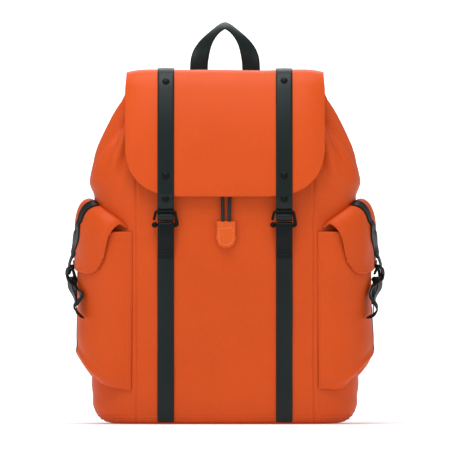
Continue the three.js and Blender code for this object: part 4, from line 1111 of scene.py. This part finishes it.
for side, k in (("left", -1), ("right", 1)):
    K = np.array([k, 1, 1.0])
    nu, nv = 96, 76
    u = np.linspace(0, 1, nu)
    vv = np.linspace(0, 1, nv) ** 1.15
    low = pocket_low(u) + 1.2 * np.sin(u * 21 + k)
    Z = low[:, None] + (250 - low[:, None]) * vv[None]
    U = np.broadcast_to(u[:, None], Z.shape)
    TH = P_TH0 + (P_TH1 - P_TH0) * U
    t = (Z - low[:, None]) / 16.5
    # the bottom is folded under: a slanted facet, a soft ridge, then the wall
    rise = np.where(t < 1, np.sin(np.clip(t, 0, 1) * math.pi / 2) ** 0.8, 1) + 0.055 * np.exp(-(((t - 0.86) / 0.2) ** 2)) - 0.035 * np.exp(-(((t - 1.45) / 0.3) ** 2))
    g = 1 - np.abs(2 * U - 1) ** 3.5
    off = 1.2 + 19.4 * g * rise * (1 - 0.11 * smooth((Z - 195) / 45) - 0.05 * np.exp(-(((Z - 150) / 45) ** 2)))
    off += g * (0.9 * np.sin(U * 9 + Z * 0.022 + 1 + k * 0.7) + 0.6 * np.sin(U * 17 - Z * 0.03 + k)) * smooth(t / 1.6)
    # slack folds that run from the sewn front corner under the flap
    for (u0, z0, u1, z1, amp, w) in ((0.02, 236, 0.42, 172, 1.7, 0.045), (0.03, 205, 0.36, 128, -1.3, 0.05), (0.97, 236, 0.62, 168, 1.5, 0.05), (0.10, 96, 0.46, 112, 1.5, 0.05), (0.9, 96, 0.66, 116, 1.3, 0.05), (0.25, 140, 0.5, 100, -1.2, 0.05)):
        du, dz = u1 - u0, (z1 - z0) / 330
        L2 = du * du + dz * dz
        pu, pz = U - u0, (Z - z0) / 330
        s = np.clip((pu * du + pz * dz) / L2, 0, 1)
        d = np.sqrt((pu - s * du) ** 2 + (pz - s * dz) ** 2)
        off += amp * np.exp(-((d / w) ** 2)) * np.sin(np.pi * np.clip(s, 0.08, 0.95)) * g
    # the strap lies in a shallow groove, and the folded edge stands off the body a little
    yy = base_surface(TH, Z)[..., 1]
    off -= 1.9 * np.exp(-(((yy + 7) / 12.5) ** 4)) * smooth((170 - Z) / 14) * smooth((Z - 80) / 8)
    off += 1.5 * np.exp(-((t / 0.16) ** 2)) * g
    # double hem at the mouth
    off += 0.55 * smooth((Z - 243.2) / 0.9) - 0.35 * np.exp(-(((Z - 243) / 0.8) ** 2))
    S, n = base_surface(TH, Z), None
    e = 1e-3
    n = unit(np.cross(base_surface(TH + e, Z) - base_surface(TH - e, Z), base_surface(TH, Z + 0.4) - base_surface(TH, Z - 0.4)))
    body_d = displacement(S * np.array([1, 1, 1])) * smooth((3 - off) / 3)
    S = S + n * (off + np.maximum(body_d, 0))[..., None]
    PK, PN = S * K, n * K
    turned = grid_normals(PK)[48, 50, 0] * k < 0
    pocket = thick("side_pocket_shell_" + side, PK, 1.5, [ORANGE, ORANGE_IN], "bag", flip=bool(turned), inner=1)
    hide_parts("side_pocket_" + side)
    for tag, ii, jj in (("front", slice(2, 3), slice(2, None)), ("back", slice(nu - 3, nu - 2), slice(2, None)), ("bottom", slice(2, -2), slice(2, 3))):
        L_, M_ = PK[ii, jj].reshape(-1, 3), PN[ii, jj].reshape(-1, 3)
        stitches(f"pocket_stitch_{tag}_{side}", L_ + M_ * 0.95, M_, "bag", THREAD)
    j = int(np.argmin(np.abs(Z[nu // 2] - 243.4)))
    L_, M_ = PK[4:-4, j], PN[4:-4, j]
    stitches(f"pocket_stitch_hem_{side}", L_ + M_ * 1.0, M_, "bag", THREAD)
    for ii, tag in ((1, "front"), (nu - 2, "back")):
        L_ = PK[ii, 2:] + PN[ii, 2:] * 0.2
        tube(f"pocket_piping_{tag}_{side}", L_[::2], 0.9, ORANGE, "bag", sides=8)

    # flap
    F = sections([np.array(c, float) for _, c in FLAP_SEC], 90, 74, [a for a, _ in FLAP_SEC])
    uu, ww = np.linspace(0, 1, 90)[:, None], np.linspace(0, 1, 74)[None]
    Nf = grid_normals(F)
    if Nf[45, 40, 0] < 0:
        Nf = -Nf
    F = F + Nf * (0.7 * np.sin(uu * 13 + ww * 3 + k) * np.sin(np.pi * ww) + 0.5 * np.sin(uu * 22 - ww * 4) * ww * (1 - uu))[..., None]
    # the strap presses a valley into it
    strap_u = lambda w: 0.52 + 0.06 * smooth(w / 0.3) + 0.14 * smooth((w - 0.5) / 0.45)
    F = F - Nf * (1.9 * np.exp(-(((uu - strap_u(ww)) / 0.085) ** 2)) * smooth(ww / 0.2) * smooth((1.02 - ww) / 0.25))[..., None]
    # keep it clear of the pocket it covers
    Qp, Qn = (PK * K)[::2, ::2].reshape(-1, 3), (PN * K)[::2, ::2].reshape(-1, 3)
    lowpart = F[:, 30:]
    F[:, 30:] = drape(lowpart, Qp, Qn, 3.3)
    for _ in range(5):
        F[1:-1, 1:-1] = 0.5 * F[1:-1, 1:-1] + 0.125 * (F[:-2, 1:-1] + F[2:, 1:-1] + F[1:-1, :-2] + F[1:-1, 2:])
    Nf = grid_normals(F)
    if Nf[45, 40, 0] < 0:
        Nf = -Nf
    edge = np.minimum(np.minimum(uu, 1 - uu) * 150, (1 - ww) * 105)
    tf = 3.5 - 0.7 * np.exp(-(((edge - 3.6) / 1.1) ** 2)) + 0 * F[..., 0]
    FW = F * K
    turned = grid_normals(FW)[45, 40, 0] * k < 0
    flap = thick("pocket_flap_cloth_" + side, FW, tf, [ORANGE, ORANGE_IN], None, flip=bool(turned), inner=1, soft_rim=0.5)
    fix_normals(flap)
    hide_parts("pocket_flap_" + side)
    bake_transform(flap)
    Fo, FN = F * K, Nf * K
    ring = [(i, 70) for i in range(4, 86)]
    L_ = np.array([Fo[i, j] + FN[i, j] * 1.75 for i, j in ring])
    M_ = np.array([FN[i, j] for i, j in ring])
    stitches(f"flap_stitch_{side}", L_, M_, "pocket_flap_" + side, THREAD)

    # strap over the flap, folded round the hook's top bar
    w = np.linspace(0.05, 0.60, 60)
    iu = strap_u(w) * 89
    jw = w * 73

    def samp(A, a, b):
        i0, j0 = np.clip(a.astype(int), 0, 88), np.clip(b.astype(int), 0, 72)
        fa, fb = (a - i0)[:, None], (b - j0)[:, None]
        return A[i0, j0] * (1 - fa) * (1 - fb) + A[i0 + 1, j0] * fa * (1 - fb) + A[i0, j0 + 1] * (1 - fa) * fb + A[i0 + 1, j0 + 1] * fa * fb

    C = samp(F, iu, jw) + samp(Nf, iu, jw) * 2.8
    wrap = [(196.4, -15.5, 230), (199.8, -10.5, 218.5), (202.4, -7.6, 210.8), (203.2, -7, 206.4), (202.2, -7, 203.4), (199.6, -7, 202.4), (197.2, -7, 203.6), (196.7, -7, 207.2), (196.9, -7.4, 212.5)]
    C = spline(np.vstack([C[::6], wrap]), 150)
    T = unit(np.gradient(C, axis=0))
    ni = np.clip(np.linspace(0, 1.25, 150), 0, 1)
    hookW = np.array([0.13, 1.0, 0.0])
    Wd = np.zeros_like(C)
    for a in range(150):
        j_ = np.argmin(((F.reshape(-1, 3) - C[a]) ** 2).sum(1))
        wdir = np.cross(Nf.reshape(-1, 3)[j_], T[a])
        if wdir[1] < 0:
            wdir = -wdir
        m, m2 = float(smooth((262 - C[a, 2]) / 20)), (float(smooth((228 - C[a, 2]) / 20)) if a < 112 else 1.0)
        mid = np.array([math.sin(0.31), math.cos(0.31), 0.0])
        Wd[a] = unit((unit(wdir) * (1 - m) + mid * m) * (1 - m2) + hookW * m2)
    Wd = unit(Wd - T * np.sum(Wd * T, 1, keepdims=True))
    ux, uh = crown(19, 13, 0.0)
    P = np.zeros((13, 150, 3))
    for i, dx in enumerate(ux):
        P[i] = C + Wd * dx
    m = int(150 * 0.60)
    P[:, :m] = drape(P[:, :m], F.reshape(-1, 3), Nf.reshape(-1, 3), 2.75)
    # the strap over the flap takes the darker strap copy: painted shade, dark against reflections of the backdrop
    fs = thick("pocket_flap_web_" + side, P * K, 1.5, STRAP_PAINTED_SHADE, None)
    fix_normals(fs)
    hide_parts("pocket_flap_strap_" + side)
    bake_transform(fs)

    # side hook
    def at(dx, d, k=k):
        p = SIDE_TOP + (SIDE_LOW - SIDE_TOP) * (d / 17.5)
        yy = dx * k
        yaw = YAW * float(smooth(d / 12))  # the frame twists: its top bar is the pivot, its lower bar follows the pocket's corner
        return (k * (p[0] + yy * math.sin(yaw)), -7 + yy * math.cos(yaw), p[1])

    hook("side_hook_" + side + "_gate", at, "side_hook_" + side, "side_hook_" + side)

    # strap on the pocket and its loop round the hook's lower bar
    zz = np.linspace(84, 152, 34)
    ux, uh = crown(20, 11, 0.2)
    P = np.zeros((11, 34, 3))
    for i, (dx, h) in enumerate(zip(ux, uh)):
        P[i, :, 1] = -7 + dx
        P[i, :, 2] = zz
        P[i, :, 0] = pocket_x(P[i, :, 1], zz, Qp) + 1.65 + h * 0.5
    ps = thick("pocket_web_" + side, P * K, 1.5, STRAP, "bag")
    fix_normals(ps)
    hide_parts("pocket_strap_" + side)
    R = 3.0
    lx, lz = SIDE_LOW
    base = float(P[5, -6, 0])
    line = [(base + 2.0, -7, 144), (base + 2.3, -7, 152), (base + 4.6, -7, 166), (lx + R - 0.4, -7, 178), (lx + R, -7, lz)]
    line += [(lx + R * math.cos(a), -7, lz + R * math.sin(a)) for a in np.linspace(0.4, math.pi - 0.4, 7)]
    line += [(lx - R, -7, lz), (lx - R - 0.3, -7, 179), (base + 1.8, -7, 166), (base + 0.9, -7, 156)]
    C = spline(np.array(line), 90)
    P = np.zeros((11, 90, 3))
    tw = smooth((C[:, 2] - 150) / 30) * YAW
    for i, dx in enumerate(ux):
        P[i] = C + np.stack([np.sin(tw) * dx, np.cos(tw) * dx, 0 * dx * tw], 1)
    # the loop round the hook's lower bar takes the darker strap copy: painted shade
    pl = thick("pocket_web_fold_" + side, P * K, 1.4, STRAP_PAINTED_SHADE, "bag")
    fix_normals(pl)
    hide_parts("pocket_strap_loop_" + side)

    # the strap's slack end hangs forward in waves
    tail = [(204.2, -8, 205), (205.4, -12, 199), (204.6, -18, 192.5), (199.5, -32, 185), (191.5, -46, 176), (187.0, -55.5, 167.5), (190.5, -58.5, 160.5), (196.0, -57, 153.5), (192.5, -60, 146.5), (185.8, -64, 138.8)] if k < 0 else [(204.2, -8, 205), (205.4, -12, 199), (204.2, -20, 192), (197.5, -36, 184.5), (191.0, -50, 175), (190.2, -57, 166), (195.0, -58, 158), (198.0, -55, 151), (194.5, -58, 144), (187.0, -62.5, 138.2)]
    C = spline(np.array(tail, float), 90)
    T = unit(np.gradient(C, axis=0))
    a = smooth(np.linspace(0, 1, 90) / 0.35)[:, None]
    ref = unit(np.array([[math.sin(YAW), math.cos(YAW), 0.0]]) * (1 - a) + np.array([[0.12, 0.93, 0.35]]) * a)
    Wd = unit(ref - T * np.sum(ref * T, 1, keepdims=True))
    ux, uh = crown(16, 11, 0.0)
    P = np.zeros((11, 90, 3))
    for i, dx in enumerate(ux):
        P[i] = C + Wd * dx * 0.78
    P = drape(P, Qp, Qn, 2.4)
    # the slack end takes the darker strap copy: painted shade, dark against reflections of the backdrop
    st = thick("strap_slack_end_" + side, P * K, 1.5, STRAP_PAINTED_SHADE, "pocket_flap_" + side)
    fix_normals(st)
    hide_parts("strap_tail_" + side)


# ------------------------------------------------------------------ back: pad, yoke, shoulder straps, lower webbing
def th_back(x, z):
    a, _, _ = sec(z)
    t = np.arccos(np.clip((np.abs(x) / a) ** (NB / 2), 0, 1))
    return np.where(np.asarray(x) >= 0, t, np.pi - t)


def on_back(x, z, off):
    S, n = surface(th_back(x, z), z, off)
    return S, n


def meshed(o):
    """The object's mesh with its modifiers applied."""
    dg = bpy.context.evaluated_depsgraph_get()
    me = bpy.data.meshes.new_from_object(o.evaluated_get(dg))
    o.modifiers.clear()
    return me


def verts_of(me):
    c = np.zeros(len(me.vertices) * 3)
    me.vertices.foreach_get("co", c)
    return c.reshape(-1, 3)


def inflate(o, voxel, cap, pressure=4.0, frames=20):
    t = bpy.data.objects.new(o.name + "_sim", o.data.copy())
    scene.collection.objects.link(t)
    r = t.modifiers.new("remesh", "REMESH")
    r.mode, r.voxel_size = "VOXEL", voxel * MM
    me = meshed(t)
    t.data = me
    start = verts_of(me)
    c = t.modifiers.new("cloth", "CLOTH")
    c.settings.use_pressure = True
    c.settings.uniform_pressure_force = pressure
    c.settings.effector_weights.gravity = 0
    c.settings.quality = 6
    c.point_cache.frame_start, c.point_cache.frame_end = 1, frames
    for f in range(1, frames + 1):
        scene.frame_set(f)
    dg = bpy.context.evaluated_depsgraph_get()
    ev = t.evaluated_get(dg).to_mesh()
    d = verts_of(ev) - start
    t.evaluated_get(dg).to_mesh_clear()
    t.modifiers.clear()
    scene.frame_set(1)
    ln = np.linalg.norm(d, axis=1, keepdims=True)
    start = start + d * np.minimum(1, cap * MM / np.maximum(ln, 1e-9))
    me.vertices.foreach_set("co", start.reshape(-1))
    me.update()
    mats = list(o.data.materials)
    o.data = me
    if not len(me.materials):
        for m in mats:
            me.materials.append(m)
    bpy.data.objects.remove(t)
    return o


def push(o, fn):
    c = verts_of(o.data) / MM
    o.data.vertices.foreach_set("co", (fn(c) * MM).reshape(-1))
    o.data.update()


def subdivide(o, levels=1):
    s = o.modifiers.new("sub", "SUBSURF")
    s.levels = s.render_levels = levels
    me = meshed(o)
    o.data = me
    me.polygons.foreach_set("use_smooth", [True] * len(me.polygons))


PAD_X, PAD_Z0, PAD_Z1 = 90.0, 72.0, 336.0
u = np.linspace(-1, 1, 61)
v = np.linspace(-1, 1, 91)
hz, cz = (PAD_Z1 - PAD_Z0) / 2, (PAD_Z1 + PAD_Z0) / 2
Uu, Vv = np.meshgrid(u, v, indexing="ij")
# square to rounded-rectangle map
xm = Uu * PAD_X * (1 - 0.10 * np.abs(Vv) ** 9 * np.abs(Uu) ** 2)
zm = cz + Vv * hz * (1 - 0.05 * np.abs(Uu) ** 9 * np.abs(Vv) ** 2)
S, n = on_back(xm, zm, 0)
rim = np.minimum((1 - np.abs(Uu)) * PAD_X, (1 - np.abs(Vv)) * hz)
tt = 1.6 + 5.2 * smooth(rim / 9)
pad = thick("back_cushion", S + n * (1.1 + tt / 2)[..., None], tt, [PAD], "bag")
fix_normals(pad)
inflate(pad, 4.0, 5.0)


def lines(x, z):
    """How near a point is to a sewn channel: 1 on it."""
    centre = np.exp(-(((np.abs(x) - 13.5) / 2.6) ** 2))
    rows = sum(np.exp(-(((z - (zz + 10 * (np.abs(x) / 90) ** 2 * s)) / 2.6) ** 2)) * smooth((np.abs(x) - 12) / 4) for zz, s in ((250, 1), (160, -1)))
    return np.clip(np.maximum(centre, rows), 0, 1)


def shape_pad(c):
    bx, bz = c[:, 0], c[:, 2]
    y0 = back_y(np.clip(bx, -150, 150), bz) + 0.9
    h = c[:, 1] - y0
    outer = smooth((h - 1.5) / 3)
    ch = lines(bx, bz)
    h2 = np.where(h > 1.5, h - outer * ch * np.maximum(h - 3.0, 0) * 0.95, h)
    valley = np.exp(-(((bx) / 9.5) ** 4)) * 1.8 * outer
    h2 = h2 - np.minimum(valley, np.maximum(h2 - 3, 0))
    h2 = np.clip(h2, 0.0, 12.8)
    out = c.copy()
    out[:, 1] = y0 + h2
    return out


push(pad, shape_pad)
subdivide(pad)
push(pad, lambda c: np.column_stack([c[:, 0], np.maximum(c[:, 1], back_y(np.clip(c[:, 0], -150, 150), c[:, 2]) + 0.8), c[:, 2]]))
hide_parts("back_pad")
a = np.linspace(0, 2 * np.pi, 200, endpoint=False)
ex = np.sign(np.cos(a)) * np.abs(np.cos(a)) ** 0.22 * (PAD_X + 0.8)
ez = cz + np.sign(np.sin(a)) * np.abs(np.sin(a)) ** 0.22 * (hz + 0.8)
S, n = on_back(ex, ez, 2.4)
S = np.vstack([S, S[:2]])
tube("back_cushion_binding", S, 1.9, WEB, "bag", sides=10, cap=False)

# yoke panel that the straps are sewn under
z = np.linspace(352, 408, 30)
uu = np.linspace(-1, 1, 61)
X = uu[:, None] * (74 - 10 * smooth((z - 352) / 56))[None]
Z = np.broadcast_to(z, X.shape)
S, n = on_back(X, Z, 0)
edge = np.minimum(np.minimum(Z - 352, 408 - Z), (1 - np.abs(uu[:, None])) * 70)
bulge = 0.8 * np.exp(-(((edge - 2.0) / 1.5) ** 2)) - 0.3 * np.exp(-(((edge - 4.6) / 0.9) ** 2))
yoke = thick("yoke_panel", S + n * (1.9 + bulge * 0.5)[..., None], 2.2 + 0 * Z, [ORANGE], "bag")
fix_normals(yoke)
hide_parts("shoulder_yoke")
for zz in (356.6, 403.4):
    xx = np.linspace(-66, 66, 70) * (1.0 if zz < 380 else 0.9)
    S, n = on_back(xx, np.full_like(xx, zz), 3.2)
    stitches(f"yoke_stitch_{int(zz)}", S, n, "bag", THREAD)

# lid hinge strip
z = np.concatenate([np.linspace(424, 452, 16), np.linspace(453, 458.4, 8)])
X = uu[:, None] * (118 - 14 * smooth((z - 424) / 34))[None]
Z = np.broadcast_to(z, X.shape)
yb = back_y(X, np.minimum(Z, 438.0), 1.7)
y = yb * (1 - smooth((Z - 438) / 18)) + 66.3 * smooth((Z - 438) / 18)
strip = thick("lid_hinge_cloth", np.stack([X, y + 0.9, Z], 2), 1.7, [ORANGE, ORANGE_IN], "bag", inner=1)
fix_normals(strip)
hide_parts("lid_hinge_strip")
for zz in (427, 431):
    xx = np.linspace(-112, 112, 110)
    L_ = np.stack([xx, back_y(xx, zz, 1.7) + 2.0, np.full_like(xx, zz)], 1)
    stitches(f"hinge_stitch_{zz}", L_, np.tile([0, 1.0, 0], (110, 1)), "bag", THREAD)

ST = np.array([[44, 79.2, 400, 50, 4], [45, 86, 397, 54, 6], [47, 96, 388, 60, 10], [50, 106, 370, 64, 11], [55, 112.5, 340, 66, 11], [62, 114.5, 300, 64, 11], [71, 112.5, 260, 58, 11], [81, 108.5, 228, 48, 10], [86, 106, 208, 36, 7], [88, 105, 201, 30, 4]], float)
for side, k in (("left", -1), ("right", 1)):
    body = "shoulder_strap_" + side
    nv = 120
    C = spline(ST[:, :3], nv)
    ss = np.concatenate([[0], np.cumsum(np.linalg.norm(np.diff(ST[:, :3], axis=0), axis=1))])
    sc = np.concatenate([[0], np.cumsum(np.linalg.norm(np.diff(C, axis=0), axis=1))])
    sc = sc / sc[-1] * ss[-1]
    w_, t_ = np.interp(sc, ss, ST[:, 3]), np.interp(sc, ss, ST[:, 4])
    T = unit(np.gradient(C, axis=0))
    W = np.stack([np.ones(nv), np.zeros(nv), 0.22 * smooth((400 - C[:, 2]) / 150)], 1)
    W = unit(W - T * np.sum(W * T, 1, keepdims=True))
    O = np.cross(T, W)
    O = O * np.sign(O[:, 1:2].mean())
    uu2 = np.sin(np.linspace(-1, 1, 45) * math.pi / 2 * 0.97) / math.sin(math.pi / 2 * 0.97)
    P = np.zeros((45, nv, 3))
    TT = np.zeros((45, nv))
    for i, a in enumerate(uu2):
        rimw = (1 - abs(a)) * w_ / 2
        TT[i] = np.maximum(t_ * 1.08 * (1 - 0.5 * np.abs(a) ** 5) - 0.62 * t_ * np.exp(-(((rimw - 6.0) / 1.5) ** 2)) * (t_ > 5), 2.2)
        P[i] = C + W * (a * w_ / 2)[:, None] + O * (0.5 * np.sin(sc * 0.06 + a * 2))[:, None]
    P = P * np.array([k, 1, 1.0])
    st = thick("shoulder_pad_" + side, P, TT, [STRAP, PAD], body, inner=1)
    fix_normals(st)
    subdivide(st)
    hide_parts("shoulder_strap_" + side)
    K = np.array([k, 1, 1.0])
    for ei, tag in ((-1, "outer"), (1, "inner")):
        E = (C + W * (ei * w_ / 2)[:, None]) * K
        tube(f"shoulder_binding_{tag}_{side}", E, 1.7 + 0.35 * smooth((t_ - 4) / 5), WEB, body, sides=10, ref=(0, 1, 0))
        for a_ in (1,):
            rr = (w_ / 2 - 6.0)[4:-6]
            Lr = (C[4:-6] + W[4:-6] * (ei * rr)[:, None] + O[4:-6] * (t_[4:-6] * 0.24 + 0.5)[:, None]) * K
            stitches(f"shoulder_stitch_{tag}_{side}", Lr, O[4:-6] * K, body, THREAD_BLACK)
    # webbing sewn down the strap's outer face
    m0, m1 = 26, nv - 3
    Pw = np.zeros((7, m1 - m0, 3))
    for i, a in enumerate(np.linspace(-10, 10, 7)):
        Pw[i] = C[m0:m1] + W[m0:m1] * a + O[m0:m1] * (t_[m0:m1] * 0.54 + 1.2)[:, None]
    wb = thick("shoulder_webbing_" + side, Pw * K, 1.5, [WEB], body)
    fix_normals(wb)
    for j in (30, 46, 62, 78, 94, 110):
        Lr = np.array([C[j] + W[j] * a + O[j] * (t_[j] * 0.54 + 2.1) for a in np.linspace(-8, 8, 9)]) * K
        stitches(f"shoulder_bartack_{j}_{side}", Lr, np.tile(O[j] * K, (9, 1)), body, THREAD_BLACK, pitch=1.6, length=1.5)
    # webbing link to the ladder lock
    def ribbon(name, pts, w, t, mats, n_=60, wide=(1, 0, 0.05), on=body):
        c = spline(np.array(pts, float), n_)
        T_ = unit(np.gradient(c, axis=0))
        wd = np.tile(np.array(wide, float), (n_, 1))
        wd = unit(wd - T_ * np.sum(wd * T_, 1, keepdims=True))
        Pq = np.array([c + wd * a for a in np.linspace(-w / 2, w / 2, 7)])
        o = thick(name, Pq * K, t, mats, on)
        fix_normals(o)
        return o

    ribbon("lock_link_" + side, [(88.0, 107.2, 204), (89.2, 107.3, 199), (89.6, 106.8, 195.5), (89.7, 105.2, 193.6), (89.4, 103.2, 194.3), (88.9, 102.6, 198), (87.9, 102.5, 204)], 21, 1.4, [WEB], 46)
    low = ribbon("lower_webbing_run_" + side, [(90.6, 104.6, 176.2), (92.2, 101.6, 170), (94.4, 100.2, 162), (99, 97.6, 140), (106, 92.6, 105), (113, 86.2, 72), (118, 83.2, 47), (119.3, 81.8, 37), (119.6, 81.4, 31)], 22, 1.8, [WEB], 110, wide=(1, 0.0, 0.2), on=None)
    # its end stays sewn in the anchor; the lock pays webbing out as the strap swings
    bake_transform(low)
    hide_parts("lower_webbing_" + side)
    ribbon("lower_webbing_end_" + side, [(90.9, 105.6, 177.0), (92.0, 107.2, 172.5), (94.2, 107.0, 162), (97, 104.6, 148), (99.5, 103.2, 134), (101.2, 103.6, 122), (102.2, 104.6, 113)], 22, 1.8, [WEB], 70, wide=(1, 0.0, 0.16))
    # anchor patch
    z = np.linspace(16, 33, 14)
    xx = np.linspace(102.5, 135.5, 21)
    X, Z = np.meshgrid(xx, z, indexing="ij")
    X = 119 + (X - 119) * (1 - 0.25 * smooth((Z - 20) / 14))
    S, n = on_back(X, Z, 1.9)
    an = thick("anchor_patch_" + side, S * K, 2.1, [ORANGE], "bag")
    fix_normals(an)
    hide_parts("strap_anchor_" + side)
    xx = np.linspace(107, 131, 24)
    S, n = on_back(xx, np.full_like(xx, 19.0), 3.2)
    stitches(f"anchor_stitch_{side}", S * K, n * K, "bag", THREAD)
    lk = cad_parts["ladder_lock_" + side]
    lk.data.materials.clear()
    lk.data.materials.append(PLASTIC)
    bevel(lk, 0.7, 3, 30)

rings = [(0.001, 0), (0.6, 0), (1.4, 0), (2.6, 0), (6, 0), (8.6, 0), (9.1, 0.08), (9.35, 0.3), (9.5, 1.0)]


def wall(a, h):
    """A low sweep round the floor: open in front of the lens, a little higher behind the bag."""
    return h * (0.0 if math.sin(a) < -0.97 else 0.74 if math.sin(a) > 0.97 else 0.5)


floor_v = [(r * 1000 * math.cos(a), r * 1000 * math.sin(a), wall(a, h) * 1000) for r, h in rings for a in np.linspace(0, 2 * math.pi, 64, endpoint=False)]
floor_f = [[i * 64 + j, i * 64 + (j + 1) % 64, (i + 1) * 64 + (j + 1) % 64, (i + 1) * 64 + j] for i in range(len(rings) - 1) for j in range(64)]
FLOOR, _nt, _b = new_mat("studio_floor", rough=0.9, spec=0.1)
_b.inputs["Base Color"].default_value = (0.92, 0.92, 0.92, 1)
_b.inputs["Emission Color"].default_value = (1, 1, 1, 1)
_b.inputs["Emission Strength"].default_value = 0.2
BACKDROP, _nt, _b = new_mat("studio_backdrop", rough=0.9, spec=0.1)
_b.inputs["Base Color"].default_value = (0.9, 0.9, 0.9, 1)
_b.inputs["Emission Color"].default_value = (1, 1, 1, 1)
_b.inputs["Emission Strength"].default_value = 0.85
floor = make("studio_floor", floor_v, floor_f, [FLOOR, BACKDROP], index=[0 if i < 2 * 64 else 1 for i in range(len(floor_f))])
